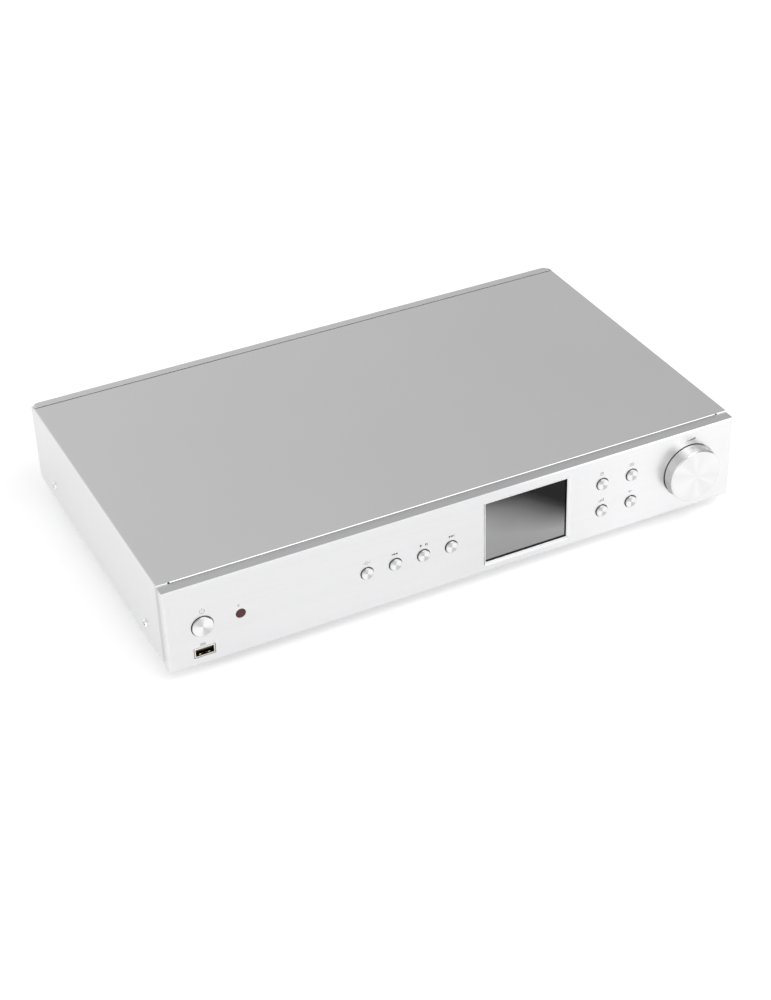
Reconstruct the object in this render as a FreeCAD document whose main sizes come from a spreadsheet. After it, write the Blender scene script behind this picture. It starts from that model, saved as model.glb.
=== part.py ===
import FreeCAD, Part
import os
import re
import Sketcher

# Internet radio for a home audio rack: aluminium front, folded steel case, aerial on the back.
# Millimetres, +Z up, front towards -Y. The origin is at the middle of the footprint, on the floor.

doc = FreeCAD.newDocument("internet_radio")
sheet = doc.addObject("Spreadsheet::Sheet", "sizes")

sizes = [
    # Case
    ("case_width", 430.0, "over the cover's two sides"),
    ("case_depth", 259.0, "front face to the rear panel's outer face"),
    ("sheet_thick", 1.0, "steel sheet of cover, tray and rear panel"),
    ("sheet_fit", 0.2, "air between sheets that slide together"),
    ("bend_radius", 1.6, "outer radius of the cover's bends"),
    ("panel_height", 64.0, "front panel, bottom to top"),
    ("panel_depth", 9.0, "front panel, face to back"),
    ("panel_skin", 3.0, "front panel's wall behind the face"),
    ("panel_rim", 3.0, "front panel's wall around the hollow"),
    ("panel_chamfer", 0.9, "bevel around the face"),
    ("relief_inset", 9.5, "bend relief in the cover, from the side"),
    ("relief_radius", 0.7, "half round bend relief"),
    ("strip_depth", 7.8, "rear panel's top flange"),
    ("strip_gap", 1.1, "slot between the cover and that flange"),
    ("strip_radius", 4.5, "rear panel's round rear corners, outside"),
    ("return_depth", 12.0, "rear panel's side flanges"),
    ("cover_short", 3.0, "cover ends before the rear panel's outer face"),
    ("cover_lift", 4.5, "cover's side above the front panel's bottom"),
    ("cover_corner", 5.0, "round lower rear corner of the cover's side"),
    ("tray_rise", 1.5, "tray's underside above the front panel's bottom"),
    ("tray_side", 26.0, "tray's side flange above the panel's bottom"),
    ("tab_height", 13.5, "tray's rear tabs above the panel's bottom"),
    ("tab_width", 14.0, "tray's rear tabs"),
    ("ear_width", 15.0, "tray's front ears behind the panel's ends"),
    ("vent_length", 60.0, "slot in the tray"),
    ("vent_width", 3.0, "slot in the tray"),
    ("vent_pitch", 9.0, "slot to slot"),
    # Feet
    ("foot_height", 8.0, "floor to the front panel's bottom"),
    ("foot_radius", 14.0, "at the tray"),
    ("foot_taper", 1.5, "smaller by this at the floor end"),
    ("pad_thick", 1.5, "rubber pad"),
    ("pad_radius", 11.5, "rubber pad"),
    ("foot_inset_x", 45.0, "foot's middle from the case's side"),
    ("foot_inset_y", 38.0, "foot's middle from front and back"),
    # Screws
    ("screw_radius", 1.5, "thread of the case screws"),
    ("screw_length", 6.0, "under the head"),
    ("screw_hole_fit", 0.1, "clearance hole over thread, on the radius"),
    ("thread_fit", 0.03, "tapped hole over thread, on the radius"),
    ("head_radius", 2.9, "pan head"),
    ("head_height", 1.8, "pan head"),
    ("head_crown", 2.1, "flat top of the pan head, as a radius"),
    ("head_dome", 1.0, "sloped upper part of the pan head"),
    ("recess_width", 0.9, "cross recess, one bar"),
    ("recess_length", 3.4, "cross recess, tip to tip"),
    ("recess_depth", 1.0, "cross recess"),
    ("side_screw_front", 35.0, "side screw from the front face"),
    ("side_screw_rear", 42.0, "side screw from the rear face"),
    ("side_screw_up", 19.0, "side screw above the panel's bottom"),
    ("rear_screw_up", 9.5, "rear screw above the panel's bottom"),
    ("rear_screw_inset", 18.0, "rear screw from the case's side"),
    ("rear_screw_pitch", 96.0, "next rear screw"),
    ("boss_radius", 3.5, "screw boss in the front panel"),
    ("boss_inset", 3.8, "boss's middle from the rim"),
    # Display
    ("glass_width", 63.4, "what the window shows"),
    ("glass_height", 47.9, "what the window shows"),
    ("glass_in", 166.0, "window's middle from the case's right side"),
    ("glass_up", 31.1, "window's middle above the panel's bottom"),
    ("opening_bevel", 1.6, "bright bevel around the opening"),
    ("bezel_wall", 0.5, "black lining of the opening"),
    ("bezel_fit", 0.05, "air around the lining"),
    ("window_thick", 1.5, "clear window"),
    ("window_sink", 1.25, "the window's face behind the bevel around it"),
    ("window_border", 3.5, "window beyond what shows, each way"),
    ("screen_border", 5.0, "screen unit beyond what shows, left and right"),
    ("screen_border_up", 3.0, "screen unit beyond what shows, up and down"),
    ("screen_thick", 3.6, "screen unit"),
    ("screen_gap", 0.2, "air before the screen unit"),
    ("holder_wall", 5.0, "frame behind the screen unit"),
    # Buttons
    ("button_radius", 4.5, "small buttons"),
    ("power_radius", 7.5, "power button"),
    ("button_fit", 0.4, "ring of air around a button"),
    ("button_out", 1.3, "button's face before the front face"),
    ("button_edge", 0.4, "bevel around a button's face"),
    ("button_travel", 0.6, "press"),
    ("button_seat", 0.1, "air between flange and panel"),
    ("flange_thick", 1.0, "collar behind the panel"),
    ("flange_rim", 1.0, "collar beyond the hole"),
    ("stem_radius", 2.0, "button's stem"),
    ("stem_fit", 0.05, "air around a stem"),
    ("stem_tail", 1.7, "stem beyond the guide"),
    ("stem_gap", 0.1, "stem to switch when pressed home"),
    ("guide_gap", 0.4, "collar to guide when pressed home"),
    ("guide_thick", 1.4, "guide plate"),
    ("guide_margin", 0.9, "air between collar and post"),
    ("post_radius", 1.6, "guide plate's posts"),
    ("plunger_out", 0.6, "switch's plunger"),
    ("plunger_radius", 1.6, "switch's plunger"),
    ("switch_height", 3.4, "switch's body"),
    ("switch_side", 6.0, "switch's body"),
    ("power_in", 25.8, "power button from the case's left side"),
    ("power_up", 30.5, "above the panel's bottom"),
    ("row_in", 224.7, "last of the four in a row, from the case's right side"),
    ("row_pitch", 20.9, "next in the row"),
    ("row_up", 30.8, "above the panel's bottom"),
    ("group_in", 83.5, "right pair of the four in a square, from the right side"),
    ("group_pitch_x", 23.6, "left pair"),
    ("group_up", 20.8, "lower pair above the panel's bottom"),
    ("group_pitch_up", 22.0, "upper pair"),
    # Infrared receiver and USB socket
    ("eye_in", 52.4, "infrared window from the case's left side"),
    ("eye_up", 31.1, "above the panel's bottom"),
    ("eye_radius", 3.5, "infrared window"),
    ("eye_rim", 1.0, "collar behind the panel"),
    ("sensor_width", 5.4, "infrared sensor"),
    ("sensor_height", 6.6, "infrared sensor"),
    ("sensor_thick", 4.6, "infrared sensor with its lens"),
    ("usb_in", 25.8, "socket from the case's left side"),
    ("usb_up", 10.4, "above the panel's bottom"),
    ("usb_width", 12.5, "mouth"),
    ("usb_height", 5.1, "mouth"),
    ("usb_wall", 0.4, "shell"),
    ("usb_lip", 0.5, "flared edge of the shell"),
    ("usb_cut_fit", 0.4, "air around the flared edge"),
    ("tongue_width", 11.1, "contact tongue"),
    ("tongue_thick", 1.8, "contact tongue"),
    ("tongue_recess", 1.6, "tongue's tip behind the mouth"),
    # Knob and encoder
    ("knob_in", 36.0, "from the case's right side"),
    ("knob_up", 32.0, "above the panel's bottom"),
    ("knob_radius", 20.3, "volume knob"),
    ("knob_out", 9.6, "knob's face before the front face"),
    ("knob_edge", 1.0, "bevel around the knob's face"),
    ("knob_sink", 0.3, "knob's back behind the front face"),
    ("knob_wall", 3.2, "knob's rim and face"),
    ("knob_recess", 1.4, "round recess in the front face"),
    ("knob_gap", 0.6, "ring of air around the knob"),
    ("knob_push", 0.5, "press of the knob"),
    ("insert_disc", 2.2, "plastic disc in the knob"),
    ("insert_radius", 5.2, "hub of the plastic insert"),
    ("shaft_radius", 3.0, "encoder's shaft"),
    ("shaft_fit", 0.05, "air around the shaft"),
    ("shaft_flat", 1.5, "flat from the shaft's middle"),
    ("bush_radius", 3.5, "encoder's threaded bush"),
    ("bush_fit", 0.1, "air around the bush"),
    ("bush_out", 1.6, "bush before the front face"),
    ("nut_flat", 10.0, "encoder's nut across flats"),
    ("nut_thick", 2.0, "encoder's nut"),
    ("encoder_side", 12.4, "encoder's body"),
    ("encoder_thick", 6.8, "encoder's body"),
    ("pusher_thick", 0.9, "disc that the shaft presses"),
    # Boards
    ("board_thick", 1.6, "circuit boards"),
    ("board_margin", 4.0, "front boards inside the panel's rim"),
    ("switch_board_width", 50.0, "board behind the power button"),
    ("standoff_up", 6.0, "spacers under the boards"),
    ("standoff_radius", 3.0, "spacers"),
    ("main_side", 15.0, "main board's right edge from the case's right side"),
    ("main_width", 192.0, "main board"),
    ("main_depth", 150.0, "main board"),
    ("main_back", 7.0, "main board's rear edge from the rear face"),
    ("display_board_reach", 13.5, "display board beyond the first small button"),
    ("supply_side", 19.0, "power board's left edge from the case's left side"),
    ("supply_width", 112.0, "power board"),
    ("supply_depth", 118.0, "power board"),
    ("supply_back", 30.0, "power board's rear edge from the rear face"),
    ("hole_inset", 6.0, "board screw from the board's edges"),
    ("part_inset", 18.0, "first row of board parts from the board's edges"),
    ("post_slim", 2.4, "spacers behind the front panel, as a radius"),
    ("module_width", 32.0, "radio module"),
    ("module_depth", 44.0, "radio module"),
    ("module_thick", 4.2, "radio module's shield can"),
    ("chip_side", 16.0, "largest chip"),
    ("chip_thick", 1.6, "chips"),
    ("chip_pitch", 25.6, "chip to chip"),
    ("chip_left", 58.0, "first chip from the main board's left edge"),
    ("can_radius", 5.0, "small capacitors"),
    ("can_height", 13.0, "small capacitors"),
    ("can_pitch", 13.0, "small capacitor to small capacitor"),
    ("bulk_radius", 9.0, "mains capacitor"),
    ("bulk_height", 26.0, "mains capacitor"),
    ("core_width", 28.0, "transformer core"),
    ("core_depth", 14.0, "transformer core"),
    ("core_height", 24.0, "transformer core"),
    ("coil_radius", 11.0, "transformer winding"),
    ("sink_width", 50.0, "heat sink"),
    ("sink_height", 25.0, "heat sink"),
    ("sink_base", 2.5, "heat sink's plate"),
    ("fin_out", 12.0, "heat sink's fins"),
    ("fin_thick", 1.2, "heat sink's fins"),
    ("fin_pitch", 8.0, "fin to fin"),
    ("ribbon_width", 20.0, "flat cable"),
    ("ribbon_thick", 0.5, "flat cable"),
    ("ribbon_bend", 8.0, "flat cable's bends, outer radius"),
    ("ribbon_up", 14.0, "header above the main board"),
    # Sockets on the back
    ("inlet_in", 55.0, "mains inlet from the case's left side"),
    ("inlet_up", 16.0, "above the panel's bottom"),
    ("inlet_width", 17.0, "cavity"),
    ("inlet_height", 8.4, "cavity"),
    ("inlet_depth", 11.0, "cavity"),
    ("inlet_wall", 2.0, "inlet's body around the cavity"),
    ("inlet_flange", 3.0, "inlet's flange beyond its body"),
    ("flange_out", 1.6, "flange before the rear panel"),
    ("pin_radius", 1.18, "mains pins"),
    ("pin_pitch", 8.6, "pin to pin"),
    ("pin_tail_long", 4.7, "pin inside the case, behind the inlet's body"),
    ("plug_side", 17.2, "mains plug on the power board"),
    ("plug_wall", 2.9, "mains plug above its leads"),
    ("lead_radius", 1.1, "mains leads inside"),
    ("jack_across", 24.0, "line sockets' middle from the main board's left edge"),
    ("jack_pitch", 14.0, "socket to socket"),
    ("jack_depth", 13.0, "line socket block"),
    ("sleeve_radius", 4.15, "line socket's metal sleeve"),
    ("sleeve_out", 9.0, "sleeve behind the rear face"),
    ("sleeve_bore", 3.4, "inside the sleeve"),
    ("core_bore", 1.6, "line socket's centre contact"),
    ("network_across", 66.0, "network socket's middle from the main board's left edge"),
    ("network_width", 16.0, "network socket"),
    ("network_height", 13.6, "network socket"),
    ("network_deep", 21.0, "network socket"),
    ("network_mouth", 11.8, "mouth"),
    ("network_mouth_up", 8.4, "mouth"),
    ("network_wall", 2.0, "wall under the mouth"),
    ("socket_fit", 0.3, "air around sockets in the rear panel"),
    ("root_step", 0.4, "round sockets are slimmer by this in the rear panel"),
    ("root_out", 0.3, "their full size starts behind the panel or nut by this"),
    ("aerial_in", 73.0, "tuner aerial socket from the case's right side"),
    ("aerial_up", 24.0, "above the panel's bottom"),
    ("aerial_radius", 4.7, "its thread"),
    ("aerial_out", 10.0, "behind the rear face"),
    ("aerial_bore", 1.2, "its centre contact"),
    ("aerial_shoulder", 6.6, "its collar inside the case, as a radius"),
    ("hex_thick", 2.2, "its nut"),
    ("hex_flat", 12.0, "its nut across flats"),
    # Wireless aerial
    ("antenna_in", 31.0, "its socket from the case's right side"),
    ("antenna_up", 39.0, "its socket above the panel's bottom"),
    ("antenna_thread", 3.1, "its socket's thread"),
    ("antenna_stub", 8.0, "its socket inside the case"),
    ("antenna_shoulder", 5.0, "its collar inside the case, as a radius"),
    ("antenna_seat", 2.6, "nut's near end from the rear face"),
    ("antenna_nut_long", 9.0, "knurled nut"),
    ("antenna_nut_radius", 5.4, "knurled nut"),
    ("antenna_hex", 8.0, "its socket's nut across flats"),
    ("spigot_long", 2.0, "nut's end wall, which the spigot turns in"),
    ("spigot_radius", 2.0, "spigot"),
    ("spigot_head", 0.8, "spigot's retaining head"),
    ("collar_long", 5.0, "collar between nut and fork"),
    ("collar_radius", 5.2, "collar"),
    ("fork_reach", 6.5, "collar to hinge pin"),
    ("fork_tail", 5.2, "fork beyond the hinge pin"),
    ("fork_slot", 4.4, "gap between the fork's cheeks"),
    ("tongue_fit", 0.1, "air beside the mast's tongue"),
    ("tongue_radius", 4.3, "mast's tongue around the hinge pin"),
    ("hinge_radius", 1.2, "hinge pin"),
    ("hinge_fit", 0.05, "air around the hinge pin"),
    ("mast_radius", 4.9, "mast at its foot"),
    ("mast_tip", 4.1, "mast at its tip"),
    ("mast_long", 76.0, "mast from shoulder to tip"),
    ("mast_gap", 0.5, "fork to the mast's shoulder"),
    ("groove_from_tip", 12.0, "ring groove on the mast"),
    ("groove_deep", 0.4, "ring groove on the mast"),
    ("coax_radius", 0.9, "aerial lead inside"),
    ("coax_bend", 7.0, "aerial lead's bend"),
]

for row, (alias, number, note) in enumerate(sizes, 1):
    sheet.set(f"A{row}", str(number))
    sheet.setAlias(f"A{row}", alias)
    sheet.set(f"B{row}", note)
doc.recompute()

# Places that several pieces share, each a formula of the sizes
rear_reach = "(antenna_seat + antenna_nut_long + collar_long + fork_reach + fork_tail)"
front = f"((knob_out - case_depth - {rear_reach}) / 2)"
rear = f"({front} + case_depth)"
low = "foot_height"
panel_half = "(case_width / 2 - sheet_thick)"
power_x = "(power_in - case_width / 2)"
eye_x = "(eye_in - case_width / 2)"
usb_x = "(usb_in - case_width / 2)"
row_x = "(case_width / 2 - row_in - 3 * row_pitch)"
glass_x = "(case_width / 2 - glass_in)"
group_x = "(case_width / 2 - group_in - group_pitch_x)"
knob_x = "(case_width / 2 - knob_in)"
main_right = "(case_width / 2 - main_side)"
main_left = f"({main_right} - main_width)"
supply_left = "(supply_side - case_width / 2)"
supply_right = f"({supply_left} + supply_width)"
inlet_x = "(inlet_in - case_width / 2)"
jack_x = f"({main_left} + jack_across)"
network_x = f"({main_left} + network_across)"
aerial_x = "(case_width / 2 - aerial_in)"
antenna_x = "(case_width / 2 - antenna_in)"
panel_top = f"({low} + panel_height)"
panel_back = f"({front} + panel_depth)"
skin_back = f"({front} + panel_skin)"
cover_top = f"({panel_top} + sheet_thick)"
tray_low = f"({low} + tray_rise)"
tray_top = f"({tray_low} + sheet_thick)"
tray_half = "(case_width / 2 - sheet_thick - sheet_fit)"
strip_front = f"({rear} - strip_depth)"
rear_inside = f"({rear} - sheet_thick)"
flange_front = f"({skin_back} + button_seat)"
flange_back = f"({flange_front} + flange_thick)"
guide_front = f"({flange_back} + button_travel + guide_gap)"
guide_back = f"({guide_front} + guide_thick)"
stem_end = f"({guide_back} + stem_tail)"
plunger_tip = f"({stem_end} + button_travel + stem_gap)"
switch_front = f"({plunger_tip} + plunger_out)"
board_front = f"({switch_front} + switch_height)"
board_back = f"({board_front} + board_thick)"
board_low = f"({low} + panel_rim + board_margin)"
board_high = f"({panel_top} - panel_rim - board_margin)"
glass_z = f"({low} + glass_up)"
window_back = f"({skin_back} + window_thick)"
screen_front = f"({window_back} + screen_gap)"
screen_back = f"({screen_front} + screen_thick)"
knob_z = f"({low} + knob_up)"
knob_face = f"({front} - knob_out)"
knob_back = f"({front} + knob_sink)"
knob_inner = f"({knob_face} + knob_wall)"
shaft_front = f"({knob_inner} + sheet_fit)"
encoder_front = f"({board_front} - encoder_thick)"
shaft_back = f"({board_front} - encoder_thick / 2)"
deck = f"({tray_top} + standoff_up)"
deck_top = f"({deck} + board_thick)"
main_rear = f"({rear} - main_back)"
main_front = f"({main_rear} - main_depth)"
supply_rear = f"({rear} - supply_back)"
supply_front = f"({supply_rear} - supply_depth)"
antenna_z = f"({low} + antenna_up)"
nut_near = f"({rear} + antenna_seat)"
nut_far = f"({nut_near} + antenna_nut_long)"
fork_near = f"({nut_far} + collar_long)"
hinge_y = f"({fork_near} + fork_reach)"
fork_far = f"({hinge_y} + fork_tail)"

# Places of screws, sockets, posts and board edges

eye_z = f"({low} + eye_up)"
usb_z = f"({low} + usb_up)"
inlet_z = f"({low} + inlet_up)"
side_screw_z = f"({low} + side_screw_up)"
rear_screw_z = f"({low} + rear_screw_up)"
side_screw_places = (f"({front} + side_screw_front)", f"({rear} - side_screw_rear)")
outer_screw = "(case_width / 2 - rear_screw_inset)"
rear_screw_places = (f"-{outer_screw}", f"(-{outer_screw} + rear_screw_pitch)",
                     f"({outer_screw} - rear_screw_pitch)", outer_screw)
boss_x = f"({panel_half} - panel_rim - boss_inset)"
boss_places = [(f"{sign}{boss_x}", z) for sign in ("-", "")
               for z in (f"({low} + panel_rim + boss_inset)", f"({panel_top} - panel_rim - boss_inset)")]
foot_places = [(f"{sign}(case_width / 2 - foot_inset_x)", y) for sign in ("-", "")
               for y in (f"({front} + foot_inset_y)", f"({rear} - foot_inset_y)")]
foot_seat = f"({tray_top} + sheet_thick - screw_length)"
hub_end = f"({front} - bush_out - knob_push - sheet_fit)"
jack_z = f"({deck_top} + sleeve_radius + inlet_wall)"
jack_places = [(f"({jack_x} + {side} * jack_pitch / 2)", z) for side in (-1, 1)
               for z in (jack_z, f"({jack_z} + jack_pitch)")]
aerial_place = (aerial_x, f"({low} + aerial_up)")
antenna_place = (antenna_x, antenna_z)
spigot_front = f"({nut_far} - spigot_long - 2 * spigot_head - hinge_fit)"
pin_places = [(f"({inlet_x} + {side} * pin_pitch / 2)", inlet_z) for side in (-1, 1)]
pin_tail = f"({rear} - inlet_depth - inlet_wall - pin_tail_long)"
main_holes = [(x, y) for x in (f"({main_left} + hole_inset)", f"({main_right} - hole_inset)")
              for y in (f"({main_front} + hole_inset)", f"({main_rear} - hole_inset)")]
supply_holes = [(x, y) for x in (f"({supply_left} + hole_inset)", f"({supply_right} - hole_inset)")
                for y in (f"({supply_front} + hole_inset)", f"({supply_rear} - hole_inset)")]
switch_board_left = f"(-{panel_half} + panel_rim + board_margin)"
switch_board_right = f"({switch_board_left} + switch_board_width)"
display_board_left = f"({row_x} - display_board_reach)"
front_board_right = f"({panel_half} - panel_rim - board_margin)"
post_low = f"({board_low} + hole_inset)"
post_high = f"({board_high} - hole_inset)"
ear_clear = f"({tray_half} - ear_width - hole_inset)"
beside_screen = f"({glass_x} + glass_width / 2 + screen_border + hole_inset)"
front_posts = [(f"-{ear_clear}", post_high)]
for post_x in (f"({switch_board_right} - hole_inset)", f"({display_board_left} + hole_inset / 2)",
               beside_screen, ear_clear):
    front_posts += [(post_x, post_low), (post_x, post_high)]

small_buttons = {
    "mode_button": (row_x, f"({low} + row_up)"),
    "previous_button": (f"({row_x} + row_pitch)", f"({low} + row_up)"),
    "play_button": (f"({row_x} + 2 * row_pitch)", f"({low} + row_up)"),
    "next_button": (f"({row_x} + 3 * row_pitch)", f"({low} + row_up)"),
    "alarm_button": (group_x, f"({low} + group_up + group_pitch_up)"),
    "menu_button": (f"({group_x} + group_pitch_x)", f"({low} + group_up + group_pitch_up)"),
    "preset_button": (group_x, f"({low} + group_up)"),
    "back_button": (f"({group_x} + group_pitch_x)", f"({low} + group_up)"),
}
power_place = (power_x, f"({low} + power_up)")

vent_count = 6
fin_count = 6
chip_shares = (1.0, 0.6, 0.6, 0.45)
main_cans = 6
supply_cans = 3
past = "1"  # cutting tools reach past a face by this
bend_clear = 0.01  # an edge further back than this isn't the front one
nodes = []


def in_sheet(formula):
    """Point every name in a formula at its cell."""
    return re.sub(r"[a-z][a-z_]*", lambda found: f"sizes.{found.group(0)}", formula)


def bind(thing, path, formula):
    thing.setExpression(path, in_sheet(formula))


def place(thing, x, y, z):
    for letter, formula in zip("xyz", (x, y, z)):
        bind(thing, f".Placement.Base.{letter}", formula)


def node(thing, label):
    """Keep a finished piece under the name of its file."""
    thing.Label = label
    nodes.append(thing)
    return thing


def block(x, y, z):
    """A box from its low and high place along each axis."""
    box = doc.addObject("Part::Box", "block")
    for side, (lowest, highest) in zip(("Length", "Width", "Height"), (x, y, z)):
        bind(box, side, f"({highest}) - ({lowest})")
    place(box, x[0], y[0], z[0])
    return box


turns = {
    "z": FreeCAD.Rotation(),
    "y": FreeCAD.Rotation(FreeCAD.Vector(1, 0, 0), -90),
    "x": FreeCAD.Rotation(FreeCAD.Vector(0, 1, 0), 90),
}


def rod(axis, radius, at, span):
    """A cylinder along an axis, through a point, from one place on the axis to another."""
    cylinder = doc.addObject("Part::Cylinder", "rod")
    cylinder.Placement = FreeCAD.Placement(FreeCAD.Vector(), turns[axis])
    bind(cylinder, "Radius", radius)
    bind(cylinder, "Height", f"({span[1]}) - ({span[0]})")
    where = {"x": (span[0], *at), "y": (at[0], span[0], at[1]), "z": (*at, span[0])}[axis]
    place(cylinder, *where)
    return cylinder


def hexagon(axis, across, at, span):
    """A nut's six-sided body; its size is given across the flats."""
    prism = doc.addObject("Part::Prism", "hexagon")
    prism.Polygon = 6
    prism.Placement = FreeCAD.Placement(FreeCAD.Vector(), turns[axis])
    bind(prism, "Circumradius", f"{across} / {3 ** 0.5}")
    bind(prism, "Height", f"({span[1]}) - ({span[0]})")
    where = {"x": (span[0], *at), "y": (at[0], span[0], at[1]), "z": (*at, span[0])}[axis]
    place(prism, *where)
    return prism


def join(parts):
    if len(parts) == 1:
        return parts[0]
    fused = doc.addObject("Part::MultiFuse", "joined")
    fused.Shapes = parts
    return fused


def cut(base, tools):
    result = doc.addObject("Part::Cut", "cut")
    result.Base = base
    result.Tool = join(tools)
    return result


def group(parts):
    """Separate solids that share one node."""
    compound = doc.addObject("Part::Compound", "group")
    compound.Links = parts
    return compound


def new_body(name):
    return doc.addObject("PartDesign::Body", name)


def sketch_on(body, role, offset="0"):
    """A sketch on one of the body's own origin planes, moved along that plane's normal."""
    drawing = body.newObject("Sketcher::SketchObject", "Sketch")
    plane = next(item for item in body.Origin.OriginFeatures if item.Role == role)
    drawing.AttachmentSupport = (plane, [""])
    drawing.MapMode = "FlatFace"
    bind(drawing, ".AttachmentOffset.Base.z", offset)
    return drawing


def hold(drawing, kind, element, point, formula):
    index = drawing.addConstraint(Sketcher.Constraint(kind, -1, 1, element, point, 1.0))
    bind(drawing, f"Constraints[{index}]", formula)


def outline(drawing, corners):
    """A closed line through corners, each held at its own distances from the origin."""
    count = len(corners)
    first = drawing.GeometryCount
    for step in range(count):
        after = (step + 1) % count
        start = FreeCAD.Vector(step, step * step, 0)
        end = FreeCAD.Vector(after, after * after, 0)
        drawing.addGeometry(Part.LineSegment(start, end), False)
    for step in range(count):
        after = (step + 1) % count
        drawing.addConstraint(Sketcher.Constraint("Coincident", first + step, 2, first + after, 1))
    for step, (across, up) in enumerate(corners):
        hold(drawing, "DistanceX", first + step, 1, across)
        hold(drawing, "DistanceY", first + step, 1, up)


def rectangle(drawing, left, right, bottom, top):
    outline(drawing, [(left, bottom), (right, bottom), (right, top), (left, top)])


def circle(drawing, across, up, radius):
    ring = drawing.addGeometry(Part.Circle(FreeCAD.Vector(0, 0, 0), FreeCAD.Vector(0, 0, 1), 1), False)
    hold(drawing, "DistanceX", ring, 3, across)
    hold(drawing, "DistanceY", ring, 3, up)
    index = drawing.addConstraint(Sketcher.Constraint("Radius", ring, 1.0))
    bind(drawing, f"Constraints[{index}]", radius)


def pad(body, drawing, length, backwards=True):
    """Add material; on the XZ plane backwards means towards +Y."""
    feature = body.newObject("PartDesign::Pad", "Pad")
    feature.Profile = drawing
    feature.Reversed = backwards
    bind(feature, "Length", length)
    doc.recompute()
    return feature


def pocket(body, drawing, length, backwards=False):
    """Remove material, and make sure that some was there."""
    doc.recompute()
    before = body.Shape.Volume
    feature = body.newObject("PartDesign::Pocket", "Pocket")
    feature.Profile = drawing
    feature.Reversed = backwards
    bind(feature, "Length", length)
    doc.recompute()
    if body.Shape.Volume > before - 0.01:
        raise ValueError(f"a pocket in {body.Name} removed nothing")
    return feature


def edges_where(shape, test):
    """Names of the edges whose whole length meets a test."""
    found = []
    for number, edge in enumerate(shape.Edges, 1):
        first, last = edge.ParameterRange
        points = [edge.valueAt(first + share * (last - first)) for share in (0.0, 0.3, 0.7, 1.0)]
        if all(test(point) for point in points):
            found.append(f"Edge{number}")
    return found


def dress(body, kind, size, test):
    """Bevel or round the edges that meet a test."""
    base = body.Tip
    edges = edges_where(base.Shape, test)
    if not edges:
        raise ValueError(f"no edge of {body.Name} meets the test")
    feature = body.newObject(f"PartDesign::{kind}", kind)
    feature.Base = (base, edges)
    bind(feature, "Size" if kind == "Chamfer" else "Radius", size)
    doc.recompute()
    return feature


def near(first, second):
    return abs(first - second) < 1e-4


def turned(name, profile, x, z):
    """A piece turned about a line along Y, from corners given as radius and place."""
    body = new_body(name)
    drawing = sketch_on(body, "XY_Plane")
    outline(drawing, profile)
    feature = body.newObject("PartDesign::Revolution", "Revolution")
    feature.Profile = drawing
    feature.ReferenceAxis = (drawing, ["V_Axis"])
    feature.Angle = 360
    place(body, x, "0", z)
    return body


def frame(outer, inner):
    """A block with a block cut out of it."""
    return cut(block(*outer), [block(*inner)])


def around(middle, half):
    return (f"{middle} - ({half})", f"{middle} + ({half})")


# Front panel

def make_front_panel():
    body = new_body("front_panel")
    face = sketch_on(body, "XZ_Plane", f"-{front}")
    rectangle(face, f"-{panel_half}", panel_half, low, panel_top)
    pad(body, face, "panel_depth")
    box = body.Shape.BoundBox
    dress(body, "Chamfer", "panel_chamfer", lambda point: near(point.y, box.YMin))

    hollow = sketch_on(body, "XZ_Plane", f"-{panel_back}")
    inside = f"({panel_half} - panel_rim)"
    rectangle(hollow, f"-{inside}", inside, f"{low} + panel_rim", f"{panel_top} - panel_rim")
    pocket(body, hollow, "panel_depth - panel_skin", backwards=True)

    opening = sketch_on(body, "XZ_Plane", f"-{front}")
    half_x = "(glass_width / 2 + bezel_wall + bezel_fit)"
    half_z = "(glass_height / 2 + bezel_wall + bezel_fit)"
    rectangle(opening, *around(glass_x, half_x), *around(glass_z, half_z))
    pocket(body, opening, "panel_depth")

    def at_opening(point):
        rim = sheet.panel_rim
        inside_x = box.XMin + rim < point.x < box.XMax - rim
        inside_z = box.ZMin + rim < point.z < box.ZMax - rim
        return near(point.y, box.YMin) and inside_x and inside_z

    dress(body, "Chamfer", "opening_bevel", at_opening)

    holes = sketch_on(body, "XZ_Plane", f"-{front}")
    for x, z in small_buttons.values():
        circle(holes, x, z, "button_radius + button_fit")
    circle(holes, *power_place, "power_radius + button_fit")
    circle(holes, eye_x, eye_z, "eye_radius + bezel_fit")
    half_x = "(usb_width / 2 + usb_wall + usb_lip + usb_cut_fit)"
    half_z = "(usb_height / 2 + usb_wall + usb_lip + usb_cut_fit)"
    rectangle(holes, *around(usb_x, half_x), *around(usb_z, half_z))
    circle(holes, knob_x, knob_z, "bush_radius + bush_fit")
    pocket(body, holes, "panel_depth")

    recess = sketch_on(body, "XZ_Plane", f"-{front}")
    circle(recess, knob_x, knob_z, "knob_radius + knob_gap")
    pocket(body, recess, "knob_recess")

    bosses = sketch_on(body, "XZ_Plane", f"-{skin_back}")
    for x, z in boss_places:
        circle(bosses, x, z, "boss_radius")
    pad(body, bosses, "panel_depth - panel_skin")
    threads = sketch_on(body, "XZ_Plane", f"-{panel_back}")
    for x, z in boss_places:
        circle(threads, x, z, "screw_radius + thread_fit")
    pocket(body, threads, "screw_length - sheet_thick - sheet_fit + thread_fit", backwards=True)
    node(body, "front_panel")


# Folded case

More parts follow.
